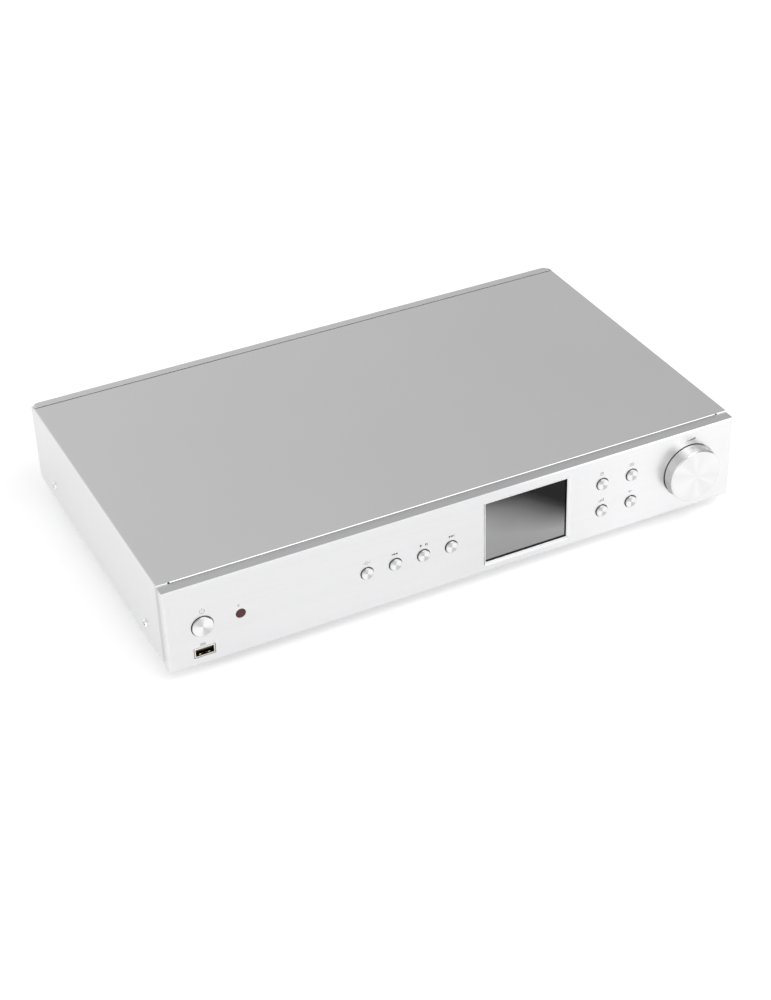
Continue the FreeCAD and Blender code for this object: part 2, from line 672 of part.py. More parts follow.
def make_top_cover():
    body = new_body("top_cover")
    half = "case_width / 2"
    side_low = f"({low} + cover_lift)"
    cover_front = f"({panel_back} + sheet_fit)"
    shape = sketch_on(body, "XZ_Plane", f"-{cover_front}")
    outline(shape, [
        (f"-{half}", side_low), (f"-{half}", cover_top), (half, cover_top), (half, side_low),
        (f"{half} - sheet_thick", side_low), (f"{half} - sheet_thick", panel_top),
        (f"-{half} + sheet_thick", panel_top), (f"-{half} + sheet_thick", side_low),
    ])
    pad(body, shape, f"{rear} - cover_short - {cover_front}")
    box = body.Shape.BoundBox
    inner_x = box.XMax - sheet.sheet_thick
    inner_z = box.ZMax - sheet.sheet_thick
    dress(body, "Fillet", "bend_radius",
          lambda point: near(abs(point.x), box.XMax) and near(point.z, box.ZMax))
    dress(body, "Fillet", "bend_radius - sheet_thick",
          lambda point: near(abs(point.x), inner_x) and near(point.z, inner_z))
    dress(body, "Fillet", "cover_corner", lambda point: near(point.y, box.YMax) and near(point.z, box.ZMin))

    notch = sketch_on(body, "XY_Plane", cover_top)
    inside = f"({half} - sheet_thick)"
    rectangle(notch, f"-{inside}", inside, f"{strip_front} - strip_gap", f"{rear} + {past}")
    pocket(body, notch, "bend_radius")
    reliefs = sketch_on(body, "XY_Plane", cover_top)
    for sign in ("-", ""):
        circle(reliefs, f"{sign}({half} - relief_inset)", cover_front, "relief_radius")
    pocket(body, reliefs, "bend_radius")
    holes = sketch_on(body, "YZ_Plane", f"-({half} + {past})")
    for y in side_screw_places:
        circle(holes, y, side_screw_z, "screw_radius + screw_hole_fit")
    pocket(body, holes, f"case_width + 2 * {past}", backwards=True)
    node(body, "top_cover")


def make_chassis_tray():
    front_edge = f"({panel_back} + sheet_fit)"
    rear_edge = f"({rear} - strip_radius - sheet_fit)"
    between = around("0", f"{tray_half} - strip_radius - sheet_fit")
    parts = [block(around("0", tray_half), (front_edge, rear_edge), (tray_low, tray_top)),
             block(between, (f"{rear_edge} - {past}", rear_inside), (tray_low, tray_top))]
    for sign in (-1, 1):
        edge = sorted_span(sign, tray_half, f"({tray_half} - sheet_thick)")
        parts.append(block(edge, (front_edge, rear_edge), (tray_low, f"{low} + tray_side")))
        ear = sorted_span(sign, tray_half, f"({tray_half} - ear_width)")
        ear_z = (tray_low, f"{panel_top} - sheet_thick")
        parts.append(block(ear, (front_edge, f"{front_edge} + sheet_thick"), ear_z))
    for x in rear_screw_places:
        parts.append(block(around(x, "tab_width / 2"), (f"{rear_inside} - sheet_thick", rear_inside),
                           (tray_low, f"{low} + tab_height")))
    tools = []
    through_floor = (f"{tray_low} - {past}", f"{tray_top} + {past}")
    for x, y in foot_places:
        tools.append(rod("z", "screw_radius + thread_fit", (x, y), through_floor))
    for y in side_screw_places:
        tools.append(rod("x", "screw_radius + thread_fit", (y, side_screw_z), around("0", "case_width / 2")))
    through = f"sheet_thick + {past}"
    for x in rear_screw_places:
        tools.append(rod("y", "screw_radius + thread_fit", (x, rear_screw_z), around(rear_inside, through)))
    for x, z in boss_places:
        tools.append(rod("y", "screw_radius + screw_hole_fit", (x, z), around(front_edge, through)))
    middle = f"({front} + case_depth / 2)"
    for board_middle in (f"({main_left} + main_width / 2)", f"({supply_left} + supply_width / 2)"):
        for step in range(vent_count):
            x = f"{board_middle} + {step - (vent_count - 1) / 2} * vent_pitch"
            tools.append(block(around(x, "vent_width / 2"), around(middle, "vent_length / 2"), through_floor))
    node(cut(join(parts), tools), "chassis_tray")


def bent_box(name, half, y, z, corner, bend):
    """A block with round rear corners and a round edge along its top."""
    body = new_body(name)
    drawing = sketch_on(body, "XY_Plane", z[0])
    rectangle(drawing, f"-{half}", half, *y)
    pad(body, drawing, f"{z[1]} - {z[0]}", backwards=False)
    box = body.Shape.BoundBox
    dress(body, "Fillet", corner, lambda point: near(abs(point.x), box.XMax) and near(point.y, box.YMax))
    dress(body, "Fillet", bend, lambda point: near(point.z, box.ZMax) and point.y > box.YMin + bend_clear)
    return body


def make_rear_panel():
    half = tray_half
    return_front = f"({rear} - return_depth)"
    outer = bent_box("rear_sheet", half, (return_front, rear), (tray_low, cover_top),
                     "strip_radius", "bend_radius")
    inner = bent_box("rear_hollow", f"({half} - sheet_thick)", (f"({return_front} - {past})", rear_inside),
                     (f"({tray_low} - {past})", panel_top), "strip_radius - sheet_thick",
                     "bend_radius - sheet_thick")
    before = f"{return_front} - 2 * {past}"
    across = around("0", f"{half} + {past}")
    tools = [
        inner,
        block(across, (before, strip_front), (f"{panel_top} - sheet_fit", f"{cover_top} + {past}")),
        block(across, (before, f"{rear} - strip_radius"),
              (f"{tray_low} - 2 * {past}", f"{low} + tray_side + sheet_fit")),
    ]
    through = (f"{rear_inside} - {past}", f"{rear} + {past}")
    for x in rear_screw_places:
        tools.append(rod("y", "screw_radius + screw_hole_fit", (x, rear_screw_z), through))
    for x, z in jack_places:
        tools.append(rod("y", "sleeve_radius + socket_fit", (x, z), through))
    tools.append(block(around(network_x, "network_width / 2 + socket_fit"), through,
                       (f"{deck_top} - socket_fit", f"{deck_top} + network_height + socket_fit")))
    tools.append(rod("y", "aerial_radius + socket_fit", aerial_place, through))
    tools.append(rod("y", "antenna_thread + socket_fit", antenna_place, through))
    tools.append(block(around(inlet_x, "inlet_width / 2 + inlet_wall + socket_fit"), through,
                       around(inlet_z, "inlet_height / 2 + inlet_wall + socket_fit")))
    node(cut(outer, tools), "rear_panel")


def sorted_span(sign, outer, inner):
    """The stretch between two distances from the middle, on the left for -1 and the right for 1."""
    if sign < 0:
        return (f"-{outer}", f"-{inner}")
    return (inner, outer)


# Feet

def make_feet():
    feet = []
    pads = []
    for x, y in foot_places:
        cone = doc.addObject("Part::Cone", "foot")
        bind(cone, "Radius1", "foot_radius - foot_taper")
        bind(cone, "Radius2", "foot_radius")
        bind(cone, "Height", f"{tray_low} - pad_thick")
        place(cone, x, y, "pad_thick")
        well = rod("z", "head_radius + screw_hole_fit", (x, y), ("pad_thick / 2", foot_seat))
        hole = rod("z", "screw_radius + screw_hole_fit", (x, y), ("pad_thick / 2", f"{tray_low} + {past}"))
        feet.append(cut(cone, [well, hole]))
        pads.append(rod("z", "pad_radius", (x, y), ("0", "pad_thick")))
    node(group(feet), "feet")
    node(group(pads), "foot_pads")


# Screws

def pan_screw(axis, at, seat, sense):
    """A pan head screw whose thread points along its axis for 1 and against it for -1."""
    def span(start, end):
        first, last = (f"{seat} + {sense} * ({value})" for value in (start, end))
        return (first, last) if sense > 0 else (last, first)

    rim = rod(axis, "head_radius", at, span("-head_height + head_dome", "0"))
    dome = doc.addObject("Part::Cone", "dome")
    dome.Placement = FreeCAD.Placement(FreeCAD.Vector(), turns[axis])
    bind(dome, "Radius1", "head_crown" if sense > 0 else "head_radius")
    bind(dome, "Radius2", "head_radius" if sense > 0 else "head_crown")
    bind(dome, "Height", "head_dome")
    foot = span("-head_height", "-head_height + head_dome")[0]
    place(dome, *{"x": (foot, *at), "y": (at[0], foot, at[1]), "z": (*at, foot)}[axis])
    thread = rod(axis, "screw_radius", at, span("0", "screw_length"))
    depth = span(f"-head_height - {past}", "-head_height + recess_depth")
    bars = []
    for first, second in (("recess_length", "recess_width"), ("recess_width", "recess_length")):
        sides = (around(at[0], f"{first} / 2"), around(at[1], f"{second} / 2"))
        spans = {"x": (depth, *sides), "y": (sides[0], depth, sides[1]), "z": (*sides, depth)}
        bars.append(block(*spans[axis]))
    return cut(join([rim, dome, thread]), bars)


def make_case_screws():
    screws = []
    for y in side_screw_places:
        screws.append(pan_screw("x", (y, side_screw_z), "(-case_width / 2)", 1))
        screws.append(pan_screw("x", (y, side_screw_z), "(case_width / 2)", -1))
    for x in rear_screw_places:
        screws.append(pan_screw("y", (x, rear_screw_z), rear, -1))
    for x, z in boss_places:
        screws.append(pan_screw("y", (x, z), f"({panel_back} + sheet_fit + sheet_thick)", -1))
    for x, y in foot_places:
        screws.append(pan_screw("z", (x, y), foot_seat, 1))
    node(group(screws), "case_screws")


# Display

def make_display():
    visible_x = around(glass_x, "glass_width / 2")
    visible_z = around(glass_z, "glass_height / 2")
    lining_x = around(glass_x, "glass_width / 2 + bezel_wall")
    lining_z = around(glass_z, "glass_height / 2 + bezel_wall")
    bezel_y = (f"{front} + opening_bevel", skin_back)
    through = around(skin_back, f"panel_skin + {past}")
    bezel = frame((lining_x, bezel_y, lining_z), (visible_x, through, visible_z))
    node(bezel, "display_bezel")
    raised_y = (f"{front} + opening_bevel + window_sink", window_back)
    window = join([
        block(around(glass_x, "glass_width / 2 + window_border"), (skin_back, window_back),
              around(glass_z, "glass_height / 2 + window_border")),
        block(around(glass_x, "glass_width / 2 - bezel_fit"), raised_y,
              around(glass_z, "glass_height / 2 - bezel_fit")),
    ])
    node(window, "display_window")
    unit_x = around(glass_x, "glass_width / 2 + screen_border")
    unit_z = around(glass_z, "glass_height / 2 + screen_border_up")
    node(block(unit_x, (screen_front, screen_back), unit_z), "display_screen")
    hollow_x = around(glass_x, "glass_width / 2 + screen_border - holder_wall")
    hollow_z = around(glass_z, "glass_height / 2 + screen_border_up - holder_wall")
    holder = frame((unit_x, (screen_back, board_front), unit_z),
                   (hollow_x, (f"{screen_back} - {past}", f"{board_front} + {past}"), hollow_z))
    node(holder, "display_holder")


# Buttons

def make_button(name, x, z, radius):
    face = f"({front} - button_out)"
    collar = f"{radius} + button_fit + flange_rim"
    profile = [
        ("0", face), (f"{radius} - button_edge", face), (radius, f"{face} + button_edge"),
        (radius, flange_front), (collar, flange_front), (collar, flange_back),
        ("stem_radius", flange_back), ("stem_radius", stem_end), ("0", stem_end),
    ]
    node(turned(name, profile, x, z), name)


def make_guide(places, radius):
    """A plate that the stems of neighbouring buttons slide in, on posts behind the panel."""
    side = f"({radius} + button_fit + flange_rim + 2 * post_radius + guide_margin)"
    up = "(stem_radius + 2 * post_radius)"
    left = f"({places[0][0]} - {side})"
    right = f"({places[-1][0]} + {side})"
    bottom = f"({places[0][1]} - {up})"
    top = f"({places[-1][1]} + {up})"
    parts = [block((left, right), (guide_front, guide_back), (bottom, top))]
    for x in (f"{left} + post_radius", f"{right} - post_radius"):
        for z in (f"{bottom} + post_radius", f"{top} - post_radius"):
            parts.append(rod("y", "post_radius", (x, z), (skin_back, guide_back)))
    through = around(guide_front, f"guide_thick + {past}")
    bores = [rod("y", "stem_radius + stem_fit", at, through) for at in places]
    return cut(join(parts), bores)


def make_switches(places):
    switches = []
    for x, z in places:
        case = block(around(x, "switch_side / 2"), (switch_front, board_front), around(z, "switch_side / 2"))
        switches.append(join([case, rod("y", "plunger_radius", (x, z), (plunger_tip, board_front))]))
    node(group(switches), "tact_switches")


# Infrared receiver and USB socket

def make_infrared():
    profile = [
        ("0", f"{front} - bezel_fit"), ("eye_radius", f"{front} - bezel_fit"), ("eye_radius", skin_back),
        ("eye_radius + eye_rim", skin_back), ("eye_radius + eye_rim", f"{skin_back} + eye_rim"),
        ("0", f"{skin_back} + eye_rim"),
    ]
    node(turned("infrared_window", profile, eye_x, eye_z), "infrared_window")
    sensor = block(around(eye_x, "sensor_width / 2"), (f"{board_front} - sensor_thick", board_front),
                   around(eye_z, "sensor_height / 2"))
    node(sensor, "infrared_sensor")


def make_usb():
    mouth_x = around(usb_x, "usb_width / 2")
    mouth_z = around(usb_z, "usb_height / 2")
    mouth_y = f"({front} + usb_wall)"
    end = f"({board_front} - usb_wall)"
    shell = block(around(usb_x, "usb_width / 2 + usb_wall"), (mouth_y, board_front),
                  around(usb_z, "usb_height / 2 + usb_wall"))
    lip = block(around(usb_x, "usb_width / 2 + usb_wall + usb_lip"), (front, mouth_y),
                around(usb_z, "usb_height / 2 + usb_wall + usb_lip"))
    node(cut(join([shell, lip]), [block(mouth_x, (f"{front} - {past}", end), mouth_z)]), "usb_shell")
    tongue_top = f"({usb_z} + usb_height / 2 - 2 * usb_wall)"
    tongue_z = (f"{tongue_top} - tongue_thick", tongue_top)
    tongue = block(around(usb_x, "tongue_width / 2"), (f"{front} + tongue_recess", end), tongue_z)
    root = block(around(usb_x, "tongue_width / 2"), (f"{end} - 2 * usb_wall", end), mouth_z)
    node(join([tongue, root]), "usb_tongue")


# Knob and rotary encoder

def shaft_tool(fit):
    """The encoder's shaft with its flat, larger by a fit all round."""
    round_bar = rod("y", f"shaft_radius + {fit}", (knob_x, knob_z), (shaft_front, shaft_back))
    flat = block(around(knob_x, "shaft_radius * 2"), (f"{shaft_front} - {past}", hub_end),
                 (f"{knob_z} + shaft_flat + {fit}", f"{knob_z} + shaft_radius * 2"))
    return cut(round_bar, [flat])


def make_knob():
    inner = "knob_radius - knob_wall"
    profile = [
        ("0", knob_face), ("knob_radius - knob_edge", knob_face), ("knob_radius", f"{knob_face} + knob_edge"),
        ("knob_radius", knob_back), (inner, knob_back), (inner, knob_inner), ("0", knob_inner),
    ]
    node(turned("volume_knob", profile, knob_x, knob_z), "volume_knob")
    middle = (knob_x, knob_z)
    disc = rod("y", inner, middle, (knob_inner, f"{knob_inner} + insert_disc"))
    hub = rod("y", "insert_radius", middle, (knob_inner, hub_end))
    node(cut(join([disc, hub]), [shaft_tool("shaft_fit")]), "knob_insert")
    node(shaft_tool("0"), "encoder_shaft")


def make_encoder():
    middle = (knob_x, knob_z)
    bush_front = f"({front} - bush_out)"
    pusher_front = f"({shaft_back} + shaft_fit)"
    pusher_back = f"({pusher_front} + pusher_thick)"
    case = block(around(knob_x, "encoder_side / 2"), (encoder_front, board_front),
                 around(knob_z, "encoder_side / 2"))
    bush = rod("y", "bush_radius", middle, (bush_front, board_front))
    bore_end = f"{pusher_back} + knob_push + shaft_fit"
    bore = rod("y", "shaft_radius + shaft_fit", middle, (f"{bush_front} - {past}", bore_end))
    node(cut(join([case, bush]), [bore]), "encoder_body")
    node(rod("y", "shaft_radius - shaft_fit", middle, (pusher_front, pusher_back)), "encoder_pusher")
    seat = f"({front} + knob_recess)"
    nut = hexagon("y", "nut_flat", middle, (f"{seat} - nut_thick", seat))
    clear = rod("y", "bush_radius + thread_fit", middle, around(seat, f"nut_thick + {past}"))
    node(cut(nut, [clear]), "encoder_nut")


# Boards

def drilled_board(x, y, z, holes):
    through = (f"{z[0]} - {past}", f"{z[1]} + {past}")
    tools = [rod("z", "screw_radius + screw_hole_fit", at, through) for at in holes]
    return cut(block(x, y, z), tools)


def make_boards():
    front_z = (board_low, board_high)
    front_y = (board_front, board_back)
    node(block((switch_board_left, switch_board_right), front_y, front_z), "switch_board")
    node(block((display_board_left, front_board_right), front_y, front_z), "display_board")
    boards = (
        ("main_board", (main_left, main_right), (main_front, main_rear), main_holes),
        ("supply_board", (supply_left, supply_right), (supply_front, supply_rear), supply_holes),
    )
    for name, x, y, holes in boards:
        node(drilled_board(x, y, (deck, deck_top), holes), name)
    spacers = []
    screws = []
    for at in main_holes + supply_holes:
        column = rod("z", "standoff_radius", at, (tray_top, deck))
        bottom = f"{deck_top} - screw_length - thread_fit"
        hole = rod("z", "screw_radius + thread_fit", at, (bottom, f"{deck} + {past}"))
        spacers.append(cut(column, [hole]))
        screws.append(pan_screw("z", at, deck_top, -1))
    for at in front_posts:
        spacers.append(rod("y", "post_slim", at, (skin_back, board_front)))
    node(group(spacers), "board_spacers")
    node(group(screws), "board_screws")


def make_main_parts():
    on_deck = (deck_top, f"{deck_top} + module_thick")
    module_y = (f"{main_rear} - part_inset - module_depth", f"{main_rear} - part_inset")
    module_x = (f"{main_right} - hole_inset - module_width", f"{main_right} - hole_inset")
    node(block(module_x, module_y, on_deck), "radio_module")
    chips = []
    middle_y = f"({main_rear} - main_depth / 2)"
    for step, share in enumerate(chip_shares):
        x = f"{main_left} + chip_left + {step} * chip_pitch"
        half = f"chip_side * {share} / 2"
        chips.append(block(around(x, half), around(middle_y, half), (deck_top, f"{deck_top} + chip_thick")))
    node(group(chips), "main_chips")
    cans = []
    for step in range(main_cans):
        at = (f"{main_right} - part_inset - {step} * can_pitch", f"{main_front} + part_inset")
        cans.append(rod("z", "can_radius", at, (deck_top, f"{deck_top} + can_height")))
    for step in range(supply_cans):
        at = (f"{supply_right} - part_inset", f"{supply_front} + part_inset + {step} * can_pitch")
        cans.append(rod("z", "can_radius", at, (deck_top, f"{deck_top} + can_height")))
    at = (f"{supply_left} + part_inset + bulk_radius", f"{supply_rear} - supply_depth / 2")
    cans.append(rod("z", "bulk_radius", at, (deck_top, f"{deck_top} + bulk_height")))
    node(group(cans), "capacitors")


def make_supply_parts():
    x = f"({supply_left} + supply_width / 2)"
    y = f"({supply_rear} - supply_depth / 2)"
    leg = "(core_width / 2 - coil_radius)"
    window_z = (f"{deck_top} + {leg}", f"{deck_top} + core_height - {leg}")
    through = around(y, "core_depth")
    core_z = (deck_top, f"{deck_top} + core_height")
    core = block(around(x, "core_width / 2"), around(y, "core_depth / 2"), core_z)
    post = block(around(x, leg), around(y, "core_depth / 2"), core_z)
    open_core = cut(core, [block(around(x, "coil_radius"), through, window_z)])
    node(join([open_core, post]), "transformer_core")
    coil_z = (f"{window_z[0]} + bezel_fit", f"{window_z[1]} - bezel_fit")
    coil = rod("z", "coil_radius - bezel_fit", (x, y), coil_z)
    leg_room = block(around(x, f"{leg} + bezel_fit"), around(y, "core_depth / 2 + bezel_fit"), window_z)
    node(cut(coil, [leg_room]), "transformer_coil")
    sink_y = f"({supply_front} + part_inset)"
    sink_z = (deck_top, f"{deck_top} + sink_height")
    fins = [block(around(x, "sink_width / 2"), (sink_y, f"{sink_y} + sink_base"), sink_z)]
    for step in range(fin_count):
        fin = around(f"{x} + {step - (fin_count - 1) / 2} * fin_pitch", "fin_thick / 2")
        fins.append(block(fin, (sink_y, f"{sink_y} + sink_base + fin_out"), sink_z))
    node(join(fins), "heat_sink")


def make_wiring():
    lead_front = f"({supply_rear} - hole_inset)"
    x = around(glass_x, "ribbon_width / 2")
    high = f"({deck_top} + ribbon_up)"
    flat_z = (f"{high} - ribbon_thick", high)
    start = f"({board_back} + ribbon_bend)"
    bend_y = f"({main_front} + hole_inset)"
    bend_z = f"({high} - ribbon_bend)"
    flat = block(x, (start, bend_y), flat_z)
    outer = quarter_rod("ribbon_bend", x, (bend_y, bend_z))
    inner = quarter_rod("ribbon_bend - ribbon_thick", x, (bend_y, bend_z))
    node(join([flat, cut(outer, [inner])]), "ribbon_cable")
    header_x = around(glass_x, "ribbon_width / 2 + ribbon_thick")
    headers = [
        block(header_x, (board_back, start), around(high, "ribbon_bend / 2")),
        block(header_x, around(f"({bend_y} + ribbon_bend)", "ribbon_bend / 2"), (deck_top, bend_z)),
        block(around(inlet_x, "plug_side / 2"), (f"{lead_front} - plug_side / 2", lead_front),
              (deck_top, f"{inlet_z} + plug_wall")),
    ]
    node(group(headers), "board_headers")
    leads = []
    for x, z in pin_places:
        leads.append(rod("y", "lead_radius", (x, z), (lead_front, pin_tail)))
    node(group(leads), "mains_leads")

    ax, az = antenna_place
    down_y = f"({main_rear} - part_inset - coax_bend)"
    across = rod("y", "coax_radius", (ax, az), (f"{down_y} + coax_bend", f"{rear} - antenna_stub"))
    turn = doc.addObject("Part::Torus", "turn")
    turn.Placement = FreeCAD.Placement(FreeCAD.Vector(), FreeCAD.Rotation(
        FreeCAD.Vector(0, 0, 1), FreeCAD.Vector(0, -1, 0), FreeCAD.Vector(1, 0, 0), "ZXY"))
    bind(turn, "Radius1", "coax_bend")
    bind(turn, "Radius2", "coax_radius")
    turn.Angle3 = 90
    place(turn, ax, f"{down_y} + coax_bend", f"{az} - coax_bend")
    drop = rod("z", "coax_radius", (ax, down_y), (f"{deck_top} + module_thick", f"{az} - coax_bend"))
    node(join([across, turn, drop]), "antenna_lead")


def quarter_rod(radius, x, middle):
    """A quarter of a cylinder along X, between straight back and straight up."""
    cylinder = doc.addObject("Part::Cylinder", "quarter")
    cylinder.Placement = FreeCAD.Placement(FreeCAD.Vector(), FreeCAD.Rotation(
        FreeCAD.Vector(0, 1, 0), FreeCAD.Vector(0, 0, 1), FreeCAD.Vector(1, 0, 0), "ZXY"))
    cylinder.Angle = 90
    bind(cylinder, "Radius", radius)
    bind(cylinder, "Height", f"({x[1]}) - ({x[0]})")
    place(cylinder, x[0], *middle)
    return cylinder


# Sockets on the back

def make_inlet():
    back = f"({rear} - inlet_depth)"
    body = block(around(inlet_x, "inlet_width / 2 + inlet_wall"), (f"{back} - inlet_wall", rear),
                 around(inlet_z, "inlet_height / 2 + inlet_wall"))
    rim = block(around(inlet_x, "inlet_width / 2 + inlet_wall + inlet_flange"),
                (rear, f"{rear} + flange_out"),
                around(inlet_z, "inlet_height / 2 + inlet_wall + inlet_flange"))
    mouth = (back, f"{rear} + flange_out + {past}")
    tools = [block(around(inlet_x, "pin_pitch / 2"), mouth, around(inlet_z, "inlet_height / 2"))]
    for x, z in pin_places:
        tools.append(rod("y", "inlet_height / 2", (x, z), mouth))
        tools.append(rod("y", "pin_radius + thread_fit", (x, z), (f"{back} - inlet_wall - {past}", mouth[1])))
    node(cut(join([body, rim]), tools), "mains_inlet")
    pins = [rod("y", "pin_radius", at, (pin_tail, f"{rear} - flange_out")) for at in pin_places]
    node(group(pins), "inlet_pins")


def make_line_sockets():
    half = "(jack_pitch / 2 + sleeve_radius + inlet_wall)"
    block_top = f"{deck_top} + 2 * {half}"
    body = block(around(jack_x, half), (f"{rear_inside} - jack_depth", rear_inside), (deck_top, block_top))
    node(body, "line_block")
    sleeves = []
    inserts = []
    end = f"({rear} + sleeve_out)"
    through = (f"{rear_inside} - {past}", f"{end} + {past}")
    root = f"({rear} + root_out)"
    for at in jack_places:
        sleeve = join([rod("y", "sleeve_radius", at, (root, end)),
                       rod("y", "sleeve_radius - root_step", at, (rear_inside, root))])
        sleeves.append(cut(sleeve, [rod("y", "sleeve_bore", at, through)]))
        insert = rod("y", "sleeve_bore - thread_fit", at, (rear_inside, f"{end} - core_bore"))
        inserts.append(cut(insert, [rod("y", "core_bore", at, (rear, f"{end} + {past}"))]))
    node(group(sleeves), "line_sleeves")
    node(group(inserts), "line_inserts")


def make_network_socket():
    body = block(around(network_x, "network_width / 2"), (f"{rear} - network_deep", f"{rear} + sheet_fit"),
                 (deck_top, f"{deck_top} + network_height"))
    mouth = block(around(network_x, "network_mouth / 2"),
                  (f"{rear} - network_deep + network_wall * 2", f"{rear} + {past}"),
                  (f"{deck_top} + network_wall", f"{deck_top} + network_wall + network_mouth_up"))
    node(cut(body, [mouth]), "network_socket")


def make_aerial_sockets():
    root = f"({rear} + hex_thick + root_out)"
    stub = f"{rear_inside} - antenna_stub"
    tuner = join([rod("y", "aerial_radius", aerial_place, (root, f"{rear} + aerial_out")),
                  rod("y", "aerial_radius - root_step", aerial_place, (stub, root))])
    tuner_collar = rod("y", "aerial_shoulder", aerial_place, (f"{rear_inside} - hex_thick", rear_inside))
    centre = rod("y", "aerial_bore", aerial_place, (rear, f"{rear} + aerial_out + {past}"))
    radio = rod("y", "antenna_thread", antenna_place, (f"{rear} - antenna_stub", spigot_front))
    radio_collar = rod("y", "antenna_shoulder", antenna_place, (f"{rear_inside} - hex_thick", rear_inside))
    node(group([cut(join([tuner, tuner_collar]), [centre]), join([radio, radio_collar])]), "aerial_sockets")
    nuts = []
    threads = (("hex_flat", "aerial_radius - root_step", aerial_place),
               ("antenna_hex", "antenna_thread", antenna_place))
    for flat, thread, at in threads:
        nut = hexagon("y", flat, at, (rear, f"{rear} + hex_thick"))
        nuts.append(cut(nut, [rod("y", f"{thread} + thread_fit", at, around(rear, f"hex_thick + {past}"))]))
    node(group(nuts), "socket_nuts")


# Wireless aerial

def make_antenna():
    x, z = antenna_place
    wall = f"({nut_far} - spigot_long)"
    nut = rod("y", "antenna_nut_radius", antenna_place, (nut_near, nut_far))
    bore = rod("y", "antenna_thread + hinge_fit", antenna_place, (f"{nut_near} - {past}", wall))
    hole = rod("y", "spigot_radius + hinge_fit", antenna_place, (nut_near, f"{nut_far} + {past}"))
    node(cut(nut, [bore, hole]), "antenna_nut")

    collar = rod("y", "collar_radius", antenna_place, (f"{nut_far} + hinge_fit", fork_near))
    head_y = (f"{wall} - hinge_fit - spigot_head", f"{wall} - hinge_fit")
    spigot = rod("y", "spigot_radius", antenna_place, (head_y[0], fork_near))
    head = rod("y", "spigot_radius + spigot_head", antenna_place, head_y)
    cheeks_z = around(z, "collar_radius")
    cheeks = block(around(x, "fork_tail"), (fork_near, hinge_y), cheeks_z)
    round_end = rod("z", "fork_tail", (x, hinge_y), cheeks_z)
    slot = block(around(x, f"fork_tail + {past}"),
                 (f"{hinge_y} - tongue_radius - mast_gap", f"{fork_far} + {past}"),
                 around(z, "fork_slot / 2"))
    pin_hole = rod("z", "hinge_radius + thread_fit", (x, hinge_y), around(z, f"collar_radius + {past}"))
    node(cut(join([collar, spigot, head, cheeks, round_end]), [slot, pin_hole]), "antenna_base")
    node(rod("z", "hinge_radius", (x, hinge_y), around(z, "collar_radius - tongue_fit")), "antenna_pin")

    shoulder = f"({x} - fork_tail - mast_gap)"
    tip = f"({shoulder} - mast_long)"
    tongue_z = around(z, "fork_slot / 2 - tongue_fit")
    tongue = rod("z", "tongue_radius", (x, hinge_y), tongue_z)
    neck = block((f"{shoulder} - {past}", x), around(hinge_y, "tongue_radius"), tongue_z)
    mast = doc.addObject("Part::Cone", "mast")
    mast.Placement = FreeCAD.Placement(FreeCAD.Vector(), turns["x"])
    bind(mast, "Radius1", "mast_tip")
    bind(mast, "Radius2", "mast_radius")
    bind(mast, "Height", "mast_long - mast_tip")
    place(mast, f"{tip} + mast_tip", hinge_y, z)
    cap = doc.addObject("Part::Sphere", "cap")
    bind(cap, "Radius", "mast_tip")
    place(cap, f"{tip} + mast_tip", hinge_y, z)
    ring = (f"{tip} + groove_from_tip", f"{tip} + groove_from_tip + groove_deep * 2")
    core = rod("x", "mast_tip - groove_deep / 2", (hinge_y, z), ring)
    groove = cut(rod("x", f"mast_radius + {past}", (hinge_y, z), ring), [core])
    hole = rod("z", "hinge_radius + hinge_fit", (x, hinge_y), around(z, "collar_radius"))
    node(cut(join([tongue, neck, mast, cap]), [groove, hole]), "antenna_mast")


make_front_panel()
make_top_cover()
make_chassis_tray()
make_rear_panel()
make_feet()
make_case_screws()
make_display()
make_button("power_button", *power_place, "power_radius")
for name, (x, z) in small_buttons.items():
    make_button(name, x, z, "button_radius")
row = [small_buttons[name] for name in ("mode_button", "previous_button", "play_button", "next_button")]
square = [small_buttons[name] for name in ("preset_button", "back_button", "alarm_button", "menu_button")]
node(group([make_guide([power_place], "power_radius"), make_guide(row, "button_radius"),
            make_guide(square, "button_radius")]), "button_guides")
make_switches([power_place] + row + square)
make_infrared()
make_usb()
make_knob()
make_encoder()
make_boards()
make_main_parts()
make_supply_parts()
make_wiring()
make_inlet()
make_line_sockets()
make_network_socket()
make_aerial_sockets()
make_antenna()

doc.recompute()
for item in doc.Objects:
    if "Invalid" in item.State or "Error" in item.State:
        raise ValueError(f"{item.Label} has failed: {item.State}")
for piece in nodes:
    if piece.Shape.isNull() or not piece.Shape.isValid():
        raise ValueError(f"{piece.Label} has no valid shape")

os.makedirs("parts", exist_ok=True)
for piece in nodes:
    piece.Shape.exportStep(f"parts/{piece.Label}.step")
print(len(nodes), "pieces written")
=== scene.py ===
import bmesh
import bpy
import math
from mathutils import Matrix, Vector


